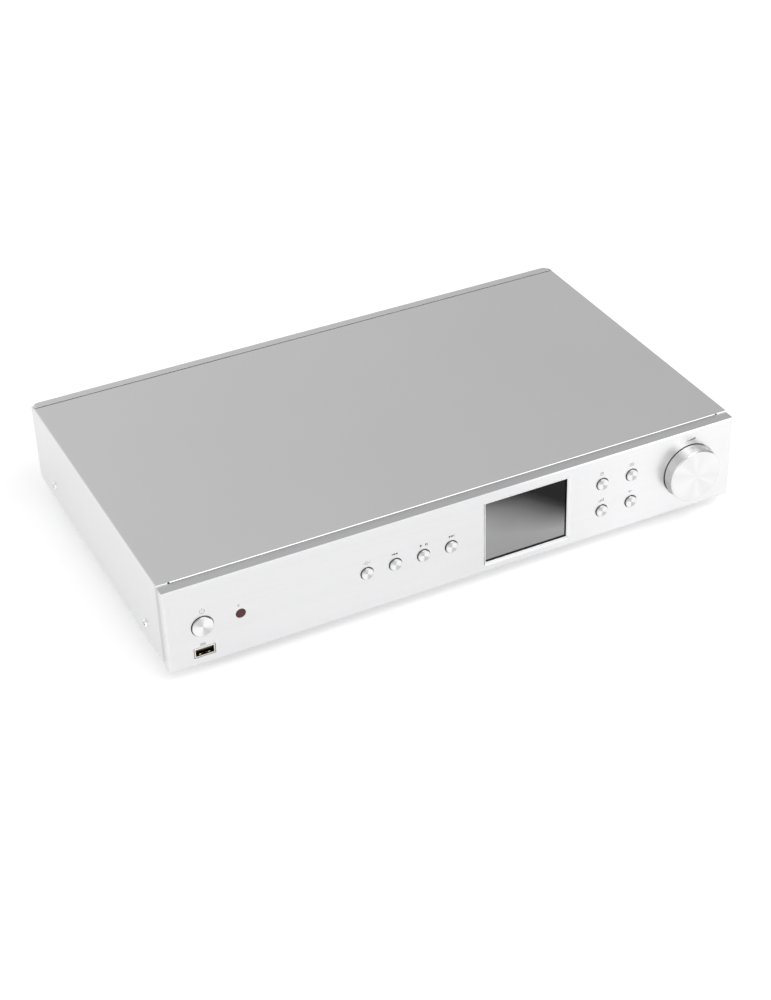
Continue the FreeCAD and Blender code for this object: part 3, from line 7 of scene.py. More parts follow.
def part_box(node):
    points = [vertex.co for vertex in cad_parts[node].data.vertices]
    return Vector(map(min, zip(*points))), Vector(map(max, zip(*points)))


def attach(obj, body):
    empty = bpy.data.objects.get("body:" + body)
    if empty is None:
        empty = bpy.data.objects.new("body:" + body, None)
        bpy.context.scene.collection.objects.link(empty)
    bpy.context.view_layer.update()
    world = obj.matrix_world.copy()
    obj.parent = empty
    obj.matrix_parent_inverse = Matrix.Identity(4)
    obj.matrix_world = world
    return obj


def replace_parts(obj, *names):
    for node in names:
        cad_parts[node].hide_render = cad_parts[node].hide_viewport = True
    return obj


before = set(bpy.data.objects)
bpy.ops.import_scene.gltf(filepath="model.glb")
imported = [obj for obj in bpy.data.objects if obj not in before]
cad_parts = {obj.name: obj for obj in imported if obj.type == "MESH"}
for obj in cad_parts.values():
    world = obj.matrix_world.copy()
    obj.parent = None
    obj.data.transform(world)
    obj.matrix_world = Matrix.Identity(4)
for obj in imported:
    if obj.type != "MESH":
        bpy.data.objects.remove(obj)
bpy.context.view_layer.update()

# Internet radio: brushed aluminium front, folded steel case, aerial on the back.
# Pieces are measured in millimetres, which mm turns into Blender's metres. The stage and
# the fineness of the materials are in metres. The front faces -Y.

mm = 0.001
weld = 0.001 * mm  # vertices nearer to each other than this become one


# Materials

class Shade:
    # A value in a material. Sums of values add their own Math nodes.
    def __init__(self, tree, socket=None):
        self.tree = tree
        self.socket = socket

    # One node: its settings first, then the values or links of its sockets
    def make(self, kind, settings=None, sockets=None, out=0):
        node = self.tree.nodes.new("ShaderNode" + kind)
        for name, value in (settings or {}).items():
            setattr(node, name, value)
        for name, value in (sockets or {}).items():
            if isinstance(value, Shade):
                self.tree.links.new(value.socket, node.inputs[name])
            else:
                node.inputs[name].default_value = value
        return Shade(self.tree, node.outputs[out])

    def math(self, operation, first, second=0.0):
        return self.make("Math", {"operation": operation}, {0: first, 1: second})

    def __add__(self, other):
        return self.math("ADD", self, other)

    def __sub__(self, other):
        return self.math("SUBTRACT", self, other)

    def __mul__(self, other):
        return self.math("MULTIPLY", self, other)

    def __truediv__(self, other):
        return self.math("DIVIDE", self, other)

    def __pow__(self, other):
        return self.math("POWER", self, other)

    def around(self, middle, spread):
        # the range 0 to 1 narrowed to that spread about a middle value
        return self * spread + (middle - spread / 2)

    def mixedWith(self, other, share):
        return self * share + other * (1 - share)

    def blend(self, low, high):
        # from one colour to another as this value goes from 0 to 1
        return self.make("Mix", {"data_type": "RGBA"}, {0: self, 6: low, 7: high}, 2)

    def ramp(self, stops):
        # greys at places along this value
        made = self.make("ValToRGB", None, {0: self})
        elements = made.socket.node.color_ramp.elements
        while len(elements) < len(stops):
            elements.new(0.5)
        for element, (where, tone) in zip(elements, stops):
            element.position = where
            element.color = grey(tone)
        return made

    def own(self, stretch=(1, 1, 1), move=(0, 0, 0)):
        # the object's own coordinates, moved and then multiplied
        where = self.make("TexCoord", out="Object")
        moved = self.make("VectorMath", {"operation": "ADD"}, {0: where, 1: move})
        return self.make("VectorMath", {"operation": "MULTIPLY"}, {0: moved, 1: stretch})

    def axes(self):
        node = self.make("SeparateXYZ", None, {0: self}).socket.node
        return [Shade(self.tree, socket) for socket in node.outputs]

    def noise(self, scale, detail=2.0, rough=0.5, stretch=(1, 1, 1)):
        return self.make("TexNoise", None, {
            "Vector": self.own(stretch), "Scale": scale, "Detail": detail, "Roughness": rough})

    def lineNoise(self, detail):
        # noise that runs along this value only
        return self.make("TexNoise", {"noise_dimensions": "1D"},
                         {"W": self, "Scale": 1.0, "Detail": detail})

    def bump(self, strength, deep):
        # this value as a height; deep is in millimetres
        return self.make("Bump", None, {
            "Height": self, "Strength": strength, "Distance": deep * mm})


def grey(value):
    return (value, value, value, 1.0)


def tinted(colour, factor):
    # a colour made darker or lighter
    return tuple(min(value * factor, 1) for value in colour) + (1,)


def newMaterial(name, paint, **plain):
    # paint gets a starting value and returns the sockets that vary over the surface
    material = bpy.data.materials.new(name)
    material.use_nodes = True
    tree = material.node_tree
    shader = tree.nodes["Principled BSDF"]
    for socket, value in plain.items():
        title = socket.replace("_", " ").title().replace("Ior", "IOR")
        shader.inputs[title].default_value = value
    for socket, value in paint(Shade(tree)).items():
        tree.links.new(value.socket, shader.inputs[socket])
    return material


print("materials")

brushedLook = {
    "light": 0.785, "dark": 0.690, "tint": 1.01, "rough": 0.33, "spread": 0.16,
    "fine": (9.0, 1700.0, 1700.0), "broad": (2.5, 160.0, 160.0), "fineShare": 0.65,
    # the last three keys place a painted highlight that lightens the right end of the front
    "bump": (0.35, 0.012), "highlightFrom": 0.03, "highlightRise": 9.0, "east": 1.10,
}


def paintedHighlightToRight(start):
    # 0 over most of the front, and 1 towards its right end, where a painted highlight lightens the
    # colour
    x = start.own().axes()[0]
    rise = (x - brushedLook["highlightFrom"]) * brushedLook["highlightRise"]
    return start.math("MINIMUM", start.math("MAXIMUM", rise, 0.0), 1.0)


def brushed(start):
    # fine lines along X, on the face as well as on the top and bottom edges
    look = brushedLook
    fine = start.noise(1.0, 3.0, 0.6, look["fine"])
    broad = start.noise(1.0, stretch=look["broad"])
    mixed = fine.mixedWith(broad, look["fineShare"])

    def tones(factor):
        greys = look["dark"] * factor, look["light"] * factor
        return mixed.blend(*[(tone, tone, tone * look["tint"], 1) for tone in greys])

    return {
        # a painted highlight lightens the right end of the front
        "Base Color": paintedHighlightToRight(start).blend(tones(1.0), tones(look["east"])),
        "Roughness": mixed.around(look["rough"], look["spread"]),
        "Normal": fine.bump(*look["bump"]),
    }


brushedAluminium = newMaterial("brushedAluminium", brushed, metallic=1.0)

paintLook = {
    "base": (0.80, 0.80, 0.805, 1), "low": (0.745, 0.745, 0.75, 1), "flake": 2600.0,
    "cloud": 9.0, "flakeShare": 0.8, "rough": 0.42, "uneven": (0.06, 0.05), "bump": (0.25, 0.02),
}


def silverPaint(start):
    # satin metallic paint with a fine flake
    look = paintLook
    flake = start.noise(look["flake"], 1.0)
    cloud = start.noise(look["cloud"], 3.0)
    byCloud, byFlake = look["uneven"]
    return {
        "Base Color": flake.mixedWith(cloud, look["flakeShare"]).blend(look["low"], look["base"]),
        "Roughness": cloud * byCloud + flake * byFlake + (look["rough"] - byFlake),
        "Normal": flake.bump(*look["bump"]),
    }


casePaint = newMaterial("casePaint", silverPaint, metallic=0.92)

plasticLook = {
    "low": 0.78, "high": 1.22, "cloud": 45.0, "fineShare": 0.6, "spread": 0.14,
    "bump": (0.2, 0.02),
}


def mouldedPlastic(name, base, rough, grain=1500.0):
    # moulded plastic with a fine grain and slight unevenness
    look = plasticLook

    def paint(start):
        fine = start.noise(grain)
        mixed = fine.mixedWith(start.noise(look["cloud"]), look["fineShare"])
        return {
            "Base Color": mixed.blend(tinted(base, look["low"]), tinted(base, look["high"])),
            "Roughness": mixed.around(rough, look["spread"]),
            "Normal": fine.bump(*look["bump"]),
        }

    return newMaterial(name, paint)


plateLook = {"low": 0.84, "high": 1.12, "cloud": 120.0, "spread": 0.16, "bump": (0.2, 0.006)}
cutLines = (60.0, 1500.0, 1500.0)  # lines of a milled edge along X
shearLines = (30.0, 1500.0, 1500.0)  # lines of a sheet's cut edge along X
turnedLines = (50.0, 2200.0, 50.0)


def platedMetal(name, base, rough, lines=(900.0, 900.0, 900.0), east=1.0):
    # plated metal, slightly cloudy and scratched; a painted highlight can make it lighter towards the
    # right
    look = plateLook

    def paint(start):
        fine = start.noise(1.0, 3.0, 0.6, lines)
        mixed = fine.mixedWith(start.noise(look["cloud"]), 0.5)

        def tones(factor):
            return mixed.blend(*[tinted(base, look[end] * factor) for end in ("low", "high")])

        colour = tones(1.0)
        return {
            # with east above 1, a painted highlight lightens the colour towards the right
            "Base Color": colour if east == 1.0 else paintedHighlightToRight(start).blend(colour, tones(east)),
            "Roughness": mixed.around(rough, look["spread"]),
            "Normal": fine.bump(*look["bump"]),
        }

    return newMaterial(name, paint, metallic=1.0)


# the front panel's bevels: a darker copy of the cut metal as painted shade, with a painted highlight
# towards the right
bevelPaintedShadeToHighlight = platedMetal("bevelPaintedShadeToHighlight", (0.42, 0.42, 0.425), 0.26, cutLines, 1.5)
paleRim = platedMetal("paleRim", (0.775, 0.775, 0.78), 0.22)
# a darker copy of the rim metal, painted shade on the buttons' cut edges
keyRimPaintedShade = platedMetal("keyRimPaintedShade", (0.46, 0.46, 0.465), 0.22)
# a brighter copy of the cut metal, a painted highlight on the display opening's bevels, the lining's
# rim and the cover's front sides
paintedHighlightSide = platedMetal("paintedHighlightSide", (0.84, 0.84, 0.845), 0.18, cutLines)
# a darker copy of the cut metal, painted shade on the bevel below the display
paintedShadeShelf = platedMetal("paintedShadeShelf", (0.44, 0.44, 0.445), 0.20, cutLines)
cutSteel = platedMetal("cutSteel", (0.70, 0.70, 0.70), 0.14, shearLines)
# a darker copy of the cut steel, painted shade on the top of the cover's front edge
shadedCut = platedMetal("shadedCut", (0.40, 0.40, 0.405), 0.34, shearLines)
# a dark copy of the metal, painted shade on the walls of the round holes
paintedShadeBore = platedMetal("paintedShadeBore", (0.055, 0.055, 0.058), 0.35)
zincPlate = platedMetal("zincPlate", (0.94, 0.94, 0.945), 0.24)
nickelPlate = platedMetal("nickelPlate", (0.70, 0.69, 0.66), 0.22)
goldPlate = platedMetal("goldPlate", (0.90, 0.68, 0.34), 0.20)
# a dark copy of the shell's steel, painted shade inside and round the USB socket
shellSteelPaintedShade = platedMetal("shellSteelPaintedShade", (0.10, 0.092, 0.080), 0.30)
coreSteel = platedMetal("coreSteel", (0.30, 0.30, 0.31), 0.40, turnedLines)
sinkAluminium = platedMetal("sinkAluminium", (0.10, 0.10, 0.105), 0.40)

blackPlastic = mouldedPlastic("blackPlastic", (0.022, 0.022, 0.024), 0.45)
footPlastic = mouldedPlastic("footPlastic", (0.020, 0.020, 0.022), 0.32)
padRubber = mouldedPlastic("padRubber", (0.030, 0.030, 0.030), 0.80, 900.0)
aerialPlastic = mouldedPlastic("aerialPlastic", (0.018, 0.018, 0.020), 0.50, 1800.0)
redPlastic = mouldedPlastic("redPlastic", (0.50, 0.030, 0.022), 0.35)
whitePlastic = mouldedPlastic("whitePlastic", (0.78, 0.78, 0.75), 0.35)
chipPlastic = mouldedPlastic("chipPlastic", (0.030, 0.030, 0.032), 0.55)
sleeveFilm = mouldedPlastic("sleeveFilm", (0.030, 0.036, 0.075), 0.35)
windingTape = mouldedPlastic("windingTape", (0.62, 0.46, 0.07), 0.40)
cableSkin = mouldedPlastic("cableSkin", (0.42, 0.43, 0.45), 0.50)
labelInk = mouldedPlastic("labelInk", (0.26, 0.26, 0.265), 0.55)
darkInk = mouldedPlastic("darkInk", (0.065, 0.065, 0.068), 0.55)


def roundAxis(start, centre):
    # places across and above an axis along Y, and the angle round it
    x, _, z = start.own(move=(-centre[0] * mm, 0, -centre[1] * mm)).axes()
    return x, z, start.math("ARCTAN2", z, x)


spunLook = {
    "rings": 2400.0, "rough": 0.20, "spread": 0.12, "lead": 0.52, "streaks": (3.0, 150.0),
    "shares": (0.80, 0.14, 0.06), "stops": (0.0, 0.22, 0.50, 1.0), "steps": (1.15, 0.93),
    "bump": (0.35, 0.008),
}


def spunMetalPaintedSheen(name, centre, dark, light):
    # turned face: rings round a centre, and two sectors of painted shade and two of painted highlight
    look = spunLook

    def paint(start):
        x, z, turn = roundAxis(start, centre)
        angle = turn - look["lead"]
        rings = (start.math("SQRT", x * x + z * z) * look["rings"]).lineNoise(2.0)
        byAngle, byHeight = look["streaks"]
        streak = (start.math("COSINE", angle) * byAngle + z * byHeight).lineNoise(3.0)
        # painted highlight and painted shade by angle
        paintedLightWave = start.math("COSINE", angle * 2.0) * 0.5 + 0.5
        sectors, streaks, fine = look["shares"]
        tones = (dark, dark * look["steps"][0], light * look["steps"][1], light)
        mixed = paintedLightWave * sectors + streak * streaks + rings * fine
        return {
            "Base Color": mixed.ramp(list(zip(look["stops"], tones))),
            "Roughness": rings.around(look["rough"], look["spread"]),
            "Normal": rings.bump(*look["bump"]),
        }

    return newMaterial(name, paint, metallic=1.0)


sideLook = {
    "lead": 1.05, "turn": 0.7, "along": 3.1, "marks": (60.0, 2600.0, 60.0),
    "shares": (0.62, 0.30, 0.15), "stops": (0.34, 0.50, 0.62), "rough": 0.34, "spread": 0.12,
    "bump": (0.3, 0.008),
}


def turnedSidePaintedLight(name, centre, dark, light, bands):
    # fine turning marks round a side, with painted shade that darkens its left, and painted reflection
    # bands that run with its axis
    look = sideLook

    def paint(start):
        angle = roundAxis(start, centre)[2]
        # painted reflection bands along the axis
        wide = (start.math("SINE", angle + look["turn"]) * bands + look["along"]).lineNoise(2.0)
        marks = start.noise(1.0, stretch=look["marks"])
        # painted shade on the left of the side
        paintedLightWave = start.math("COSINE", angle - look["lead"]) * 0.5 + 0.5
        slow, banded, fine = look["shares"]
        mixed = paintedLightWave * slow + wide * banded + marks * fine
        return {
            "Base Color": mixed.ramp(list(zip(look["stops"], (dark, (dark + light) / 2, light)))),
            "Roughness": marks.around(look["rough"], look["spread"]),
            "Normal": marks.bump(*look["bump"]),
        }

    return newMaterial(name, paint, metallic=1.0)


boardLook = {
    "tracks": 260.0, "width": 0.06, "copper": (0.05, 0.22, 0.07, 1), "copperShare": 0.7,
    "low": (0.010, 0.075, 0.030, 1), "high": (0.016, 0.115, 0.045, 1), "cloud": 80.0,
    "rough": 0.35, "spread": 0.10, "bump": (0.3, 0.02),
}


def boardCoat(start):
    # solder mask over copper tracks
    look = boardLook
    tracks = start.make("TexVoronoi", {"distance": "MANHATTAN", "feature": "DISTANCE_TO_EDGE"},
                        {"Vector": start.own(), "Scale": look["tracks"]})
    copper = start.math("LESS_THAN", tracks, look["width"])
    cloud = start.noise(look["cloud"])
    mask = cloud.blend(look["low"], look["high"])
    return {
        "Base Color": (copper * look["copperShare"]).blend(mask, look["copper"]),
        "Roughness": cloud.around(look["rough"], look["spread"]),
        "Normal": copper.bump(*look["bump"]),
    }


boardLaminate = newMaterial("boardLaminate", boardCoat)

glassLook = {
    "stops": [(0.20, 0.37), (0.38, 0.25), (0.58, 0.13), (0.80, 0.045), (0.98, 0.021)],
    "seen": 0.86, "cross": 0.74, "up": 0.34, "top": 0.24, "corner": 1.1, "uneven": 0.10,
    "broad": (30.0, 1.0, 30.0), "cells": 3500.0, "cellDark": 0.95, "dust": 30.0,
    "rough": 0.055, "spread": 0.05,
}


def mirrorFilmPaintedShade(start):
    # reflecting film behind the glass, with painted shade that makes it darker towards its upper right
    # corner
    look = glassLook
    low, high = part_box("display_bezel")
    x, _, z = start.own(move=(-low.x, 0, -low.z)).axes()
    across, up = x / (high.x - low.x), z / (high.z - low.z)
    # painted shade: darker towards the upper right
    slope = across * up * look["cross"] + up * look["up"] + up ** 6.0 * look["top"]
    slope = slope + across ** 4.0 * up ** 2.0 * look["corner"]
    slope = slope + start.noise(1.0, 1.0, stretch=look["broad"]).around(0.0, look["uneven"])
    cells = start.noise(look["cells"], 1.0).blend(grey(look["cellDark"]), grey(1.0))
    dust = start.noise(look["dust"], 3.0)
    return {
        "Base Color": start.make("Mix", {"data_type": "RGBA", "blend_type": "MULTIPLY"},
                                 {0: 1.0, 6: slope.ramp(look["stops"]), 7: cells}, 2),
        "Roughness": dust.around(look["rough"], look["spread"]),
    }


windowGlass = newMaterial("windowGlass", mirrorFilmPaintedShade, metallic=1.0, alpha=glassLook["seen"])

screenLook = {
    "cells": 5000.0, "cloud": 60.0, "rowShare": 0.4, "low": (0.012, 0.013, 0.016, 1),
    "high": (0.030, 0.031, 0.036, 1), "rough": 0.20, "spread": 0.10,
}


def screenCells(start):
    # liquid crystal cells in rows and columns
    look = screenLook
    x, _, z = start.own().axes()
    rows, columns = [start.math("FRACT", axis * look["cells"]) for axis in (z, x)]
    cloud = start.noise(look["cloud"])
    mixed = rows.mixedWith(columns, 0.5).mixedWith(cloud, look["rowShare"])
    return {
        "Base Color": mixed.blend(look["low"], look["high"]),
        "Roughness": cloud.around(look["rough"], look["spread"]),
    }


screenPanel = newMaterial("screenPanel", screenCells)

redLook = {
    "cloud": 500.0, "low": (0.072, 0.018, 0.020, 1), "high": (0.100, 0.026, 0.030, 1),
    "rough": 0.14, "spread": 0.08, "shine": 0.3,
}


def redGlass(start):
    look = redLook
    cloud = start.noise(look["cloud"])
    return {
        "Base Color": cloud.blend(look["low"], look["high"]),
        "Roughness": cloud.around(look["rough"], look["spread"]),
    }


redWindow = newMaterial("redWindow", redGlass, specular_ior_level=redLook["shine"])


# Shaping

creaseAngle = 24.0  # degrees; sharper creases aren't shaded round
slanted = 0.3  # a face leans towards an axis if its normal has more than this of it
straight = 0.98  # and it faces along the axis from here on


def spanOf(node):
    # a node's lowest and highest corner and the middle between them, in millimetres
    low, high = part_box(node)
    return low / mm, high / mm, (low + high) / 2 / mm


def finish(bm, name, body, material):
    # the bmesh as an object that rides on a body
    mesh = bpy.data.meshes.new(name)
    for face in bm.faces:
        face.smooth = True
    bm.to_mesh(mesh)
    bm.free()
    mesh.set_sharp_from_angle(angle=math.radians(creaseAngle))
    piece = bpy.data.objects.new(name, mesh)
    bpy.context.scene.collection.objects.link(piece)
    for entry in material if isinstance(material, list) else [material]:
        mesh.materials.append(entry)
    flatten = piece.modifiers.new("flatten", "WEIGHTED_NORMAL")
    flatten.keep_sharp = True
    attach(piece, body)
    return piece


def paintFaces(bm, finishes, pick):
    # pick gives a face's finish from the face and its middle in millimetres
    bm.normal_update()
    for face in bm.faces:
        face.material_index = finishes.index(pick(face, face.calc_center_median() / mm))


def copyOf(node):
    # a node's shape with its triangles joined to plain faces
    bm = bmesh.new()
    bm.from_mesh(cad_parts[node].data)
    bmesh.ops.remove_doubles(bm, verts=bm.verts, dist=weld)
    bmesh.ops.dissolve_limit(bm, angle_limit=math.radians(0.4), use_dissolve_boundaries=False,
                             verts=bm.verts, edges=bm.edges)
    return bm


def breakEdges(bm, size, sharp=35.0, segments=1):
    # a small bevel on every crease over the angle
    corners = [edge for edge in bm.edges
               if edge.is_manifold and edge.calc_face_angle() > math.radians(sharp)]
    bmesh.ops.bevel(bm, geom=corners, offset=size * mm, offset_type="OFFSET", affect="EDGES",
                    segments=segments, profile=0.5, material=-1, clamp_overlap=True)


def polished(node, name, body, material, size, sharp=35.0, segments=1, pick=None):
    # a node's shape with its edges broken; with pick, material is a list of finishes
    bm = copyOf(node)
    breakEdges(bm, size, sharp, segments)
    if pick:
        paintFaces(bm, material, pick)
    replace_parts(finish(bm, name, body, material), node)


def connected(verts):
    # every vertex that can be reached along edges
    group, waiting = set(), list(verts)
    while waiting:
        vert = waiting.pop()
        if vert not in group:
            group.add(vert)
            waiting += [edge.other_vert(vert) for edge in vert.link_edges]
    return group


def lathe(bm, profile, centre, steps, axis="Y"):
    # a closed round form from points given as radius and place along the axis
    made = [bm.verts.new((radius * mm, place * mm, 0)) for radius, place in profile]
    lines = [bm.edges.new(pair) for pair in zip(made, made[1:])]
    bmesh.ops.spin(bm, geom=made + lines, cent=(0, 0, 0), axis=(0, 1, 0), angle=2 * math.pi,
                   steps=steps, use_merge=True)
    group = list(connected(made))
    bmesh.ops.remove_doubles(bm, verts=group, dist=weld)
    alive = [vert for vert in group if vert.is_valid]
    turn = Matrix.Rotation(math.pi / 2 if axis == "Z" else 0, 4, "X")
    bmesh.ops.transform(bm, matrix=Matrix.Translation(Vector(centre) * mm) @ turn, verts=alive)
    faces = {face for vert in alive for face in vert.link_faces}
    bmesh.ops.recalc_face_normals(bm, faces=list(faces))


def brick(bm, x, y, z):
    # a small block between two places on each axis
    made = bmesh.ops.create_cube(bm, size=1.0)["verts"]
    size = Vector((x[1] - x[0], y[1] - y[0], z[1] - z[0])) * mm
    middle = Vector((x[0] + x[1], y[0] + y[1], z[0] + z[1])) * mm / 2
    bmesh.ops.scale(bm, vec=size, verts=made)
    bmesh.ops.translate(bm, vec=middle, verts=made)


print("case")

# Front panel

faceY = -138.85  # the panel's face
buttonHoles = {  # x, z and the button's radius
    "power_button": (-189.2, 38.5, 7.5), "mode_button": (-72.4, 38.8, 4.5),
    "previous_button": (-51.5, 38.8, 4.5), "play_button": (-30.6, 38.8, 4.5),
    "next_button": (-9.7, 38.8, 4.5), "alarm_button": (107.9, 50.8, 4.5),
    "menu_button": (131.5, 50.8, 4.5), "preset_button": (107.9, 28.8, 4.5),
    "back_button": (131.5, 28.8, 4.5),
}
frontLook = {
    "edge": 0.12, "boreGap": 0.7, "boreEnd": -130.0, "recess": (179.0, 40.0, 20.9),
    "ends": 213.0, "middle": 40.0, "rims": 30.0, "bevel": 1.7, "display": (49.0, 34.0),
}


def frontFinish(face, at):
    # bright ends, bevels in painted shade and painted highlight, painted shade below the display and
    # on the walls in the round holes
    look = frontLook
    atEnd = abs(at.x) > look["ends"]
    if abs(face.normal.y) < slanted:
        for x, z, radius in [*buttonHoles.values(), look["recess"]]:
            inBore = math.hypot(at.x - x, at.z - z) < radius + look["boreGap"]
            if inBore and at.y < look["boreEnd"]:
                return paintedShadeBore
        if atEnd and abs(face.normal.x) > straight:
            return paleRim
    slope = max(abs(face.normal.x), abs(face.normal.z))
    if face.normal.y > -slanted or slope < slanted or at.y > faceY + look["bevel"]:
        return brushedAluminium
    if atEnd:
        return paleRim
    if abs(at.z - look["middle"]) > look["rims"]:
        return bevelPaintedShadeToHighlight
    middle, half = look["display"]
    below = face.normal.z > slanted and abs(at.x - middle) < half
    return paintedShadeShelf if below else paintedHighlightSide


def makeFrontPanel():
    finishes = [brushedAluminium, bevelPaintedShadeToHighlight, paintedShadeBore, paintedHighlightSide, paintedShadeShelf, paleRim]
    polished("front_panel", "FrontPanel", "case", finishes,
             frontLook["edge"], pick=frontFinish)


# Case

caseLook = {
    "coverSlant": 0.33, "coverEdge": 0.15, "coverFront": -129.65, "coverTop": 73.0,
    "coverClose": 0.17, "coverSharp": 60.0, "lip": 1.1, "frontBand": 0.6, "leans": 0.4,
    "bareFrom": -202.0, "sides": 213.9, "sheetEdge": 0.12, "screwEdge": 0.18, "screwSharp": 20.0,
}


def coverFinish(face, at):
    # along the front: a painted highlight at the sides, painted shade on top, and a bare slant but for
    # its left end
    look = caseLook
    atTop = at.z > look["coverTop"] - look["lip"]
    if face.normal.y > -look["leans"] or at.y > look["coverFront"] + look["frontBand"]:
        return casePaint
    if abs(at.x) > look["sides"]:
        return paintedHighlightSide
    if atTop and face.normal.z < look["leans"]:
        return shadedCut
    return cutSteel if atTop and at.x > look["bareFrom"] else casePaint


def makeCover():
    # close behind the front panel, with a slant along its top front edge
    look = caseLook
    bm = copyOf("top_cover")
    front = [vert for vert in bm.verts if vert.co.y < look["coverFront"] * mm + 10 * weld]
    bmesh.ops.translate(bm, vec=(0, -look["coverClose"] * mm, 0), verts=front)
    breakEdges(bm, look["coverEdge"], look["coverSharp"])
    start = look["coverFront"] - look["coverClose"] + look["coverSlant"]
    sliced = bmesh.ops.bisect_plane(
        bm, geom=bm.verts[:] + bm.edges[:] + bm.faces[:], dist=0.1 * weld,
        plane_co=Vector((0, start, look["coverTop"])) * mm, plane_no=(0, -1, 1), clear_outer=True)
    rim = [item for item in sliced["geom_cut"]
           if isinstance(item, bmesh.types.BMEdge) and item.is_boundary]
    bmesh.ops.holes_fill(bm, edges=rim, sides=0)
    finishes = [casePaint, cutSteel, shadedCut, paintedHighlightSide]
    paintFaces(bm, finishes, coverFinish)
    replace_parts(finish(bm, "TopCover", "case", finishes), "top_cover")


def makeCase():
    look = caseLook
    makeCover()
    for node, name in (("chassis_tray", "ChassisTray"), ("rear_panel", "RearPanel")):
        polished(node, name, "case", casePaint, look["sheetEdge"])
    polished("case_screws", "PanHeadScrews", "case", zincPlate,
             look["screwEdge"], look["screwSharp"], segments=2)


# Feet

footLook = {  # radius and height of each ring
    "shell": [(0, 9.5), (13.7, 9.5), (14.0, 9.2), (13.85, 7.9), (13.45, 7.6), (12.85, 2.9),
              (12.5, 2.0), (12.0, 1.5), (0, 1.5)],
    "pad": [(0, 1.5), (11.5, 1.5), (11.5, 0.4), (11.1, 0), (8.5, 0), (8.2, 0.5), (6.5, 0.5),
            (6.2, 0), (3.0, 0), (2.7, 0.5), (0, 0.5)],
    "steps": 64,
}


def makeFeet():
    look = footLook
    low, high, _ = spanOf("feet")
    feet, pads = bmesh.new(), bmesh.new()
    radius = max(ring[0] for ring in look["shell"])
    for x in (low.x + radius, high.x - radius):
        for y in (low.y + radius, high.y - radius):
            lathe(feet, look["shell"], (x, y, 0), look["steps"], "Z")
            lathe(pads, look["pad"], (x, y, 0), look["steps"], "Z")
    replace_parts(finish(feet, "Feet", "case", footPlastic), "feet")
    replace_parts(finish(pads, "FootPads", "case", padRubber), "foot_pads")


# Buttons

buttonLook = {
    "edge": 0.4, "soft": 0.12, "dish": 0.05, "shoulder": 4.4, "collar": 5.4, "stem": 2.0,
    "small": (0.47, 0.82), "power": (0.52, 0.85), "side": (0.12, 0.46), "bands": 4.0,
    "flat": 0.9, "steps": 80,
}


def makeButton(node):
    look = buttonLook
    low, high, _ = spanOf(node)
    x, z, radius = buttonHoles[node]
    face, back = low.y, high.y
    edge, soft, dish = look["edge"], look["soft"], look["dish"]
    wide = (high.x - low.x) / 2
    shoulder, collar = face + look["shoulder"], face + look["collar"]
    bm = bmesh.new()
    lathe(bm, [
        (0, face + dish), (radius * 0.5, face + dish * 0.7), (radius - edge - soft, face + dish * 0.2),
        (radius - edge, face), (radius - soft, face + edge - soft), (radius, face + edge),
        (radius, shoulder), (wide, shoulder), (wide, collar), (look["stem"], collar),
        (look["stem"], back), (0, back),
    ], (x, 0, z), look["steps"])
    dark, light = look["power" if node == "power_button" else "small"]
    spun = spunMetalPaintedSheen(node + "Face", (x, z), dark, light)
    flank = turnedSidePaintedLight(node + "Side", (x, z), *look["side"], look["bands"])

    def buttonFinish(side, at):
        # a hardly hollow front, a cut edge round it in painted shade, and turned sides
        if side.normal.y > -look["flat"] or at.y > face + 2 * dish:
            return keyRimPaintedShade if at.y < face + edge else flank
        return spun

    finishes = [spun, keyRimPaintedShade, flank]
    paintFaces(bm, finishes, buttonFinish)
    name = node.title().replace("_", "")
    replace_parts(finish(bm, name, node, finishes), node)


# Volume knob

knobLook = {
    "edge": 1.0, "soft": 0.15, "dish": 0.04, "wall": 3.2, "hem": 0.3,
    "face": (0.70, 0.815), "side": (0.46, 0.76), "bands": 2.4, "flat": 0.5, "steps": 128,
}


def makeKnob():
    look = knobLook
    low, high, middle = spanOf("volume_knob")
    x, z = middle.x, middle.z
    radius = (high.x - low.x) / 2
    face, back = low.y, high.y
    edge, soft, dish, wall, hem = [look[key] for key in ("edge", "soft", "dish", "wall", "hem")]
    bm = bmesh.new()
    lathe(bm, [
        (0, face + dish), (radius * 0.5, face + dish * 0.75), (radius - edge - soft, face),
        (radius - edge, face + soft * 0.3), (radius - soft * 0.4, face + edge - soft),
        (radius, face + edge), (radius, back - hem), (radius - hem, back),
        (radius - wall, back), (radius - wall, face + wall), (0, face + wall),
    ], (x, 0, z), look["steps"])
    spun = spunMetalPaintedSheen("knobFace", (x, z), *look["face"])
    flank = turnedSidePaintedLight("knobSide", (x, z), *look["side"], look["bands"])

    def knobFinish(side, at):
        if at.y > face + soft or side.normal.y > -look["flat"]:
            return paleRim if at.y < face + edge and side.normal.y < -slanted else flank
        return spun

    finishes = [spun, paleRim, flank]
    paintFaces(bm, finishes, knobFinish)
    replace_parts(finish(bm, "VolumeKnob", "knob", finishes), "volume_knob")


# Display

displayLook = {"lining": 0.06, "window": 0.10, "screen": 0.2}


def makeDisplay():
    # the lining's rim gets the same painted highlight as the bevel before it
    look = displayLook
    polished("display_bezel", "DisplayLining", "case", [blackPlastic, paintedHighlightSide],
             look["lining"],
             pick=lambda face, at: paintedHighlightSide if face.normal.y < -slanted else blackPlastic)
    polished("display_window", "DisplayWindow", "case", windowGlass,
             look["window"])
    polished("display_screen", "DisplayScreen", "case", screenPanel, look["screen"])


# Infrared window

eyeLook = {"radius": 3.5, "flange": 4.5, "long": 3.05, "steps": 64,
           "dome": [(0, 0), (2.4, 0.01), (3.2, 0.06), (3.5, 0.25)]}


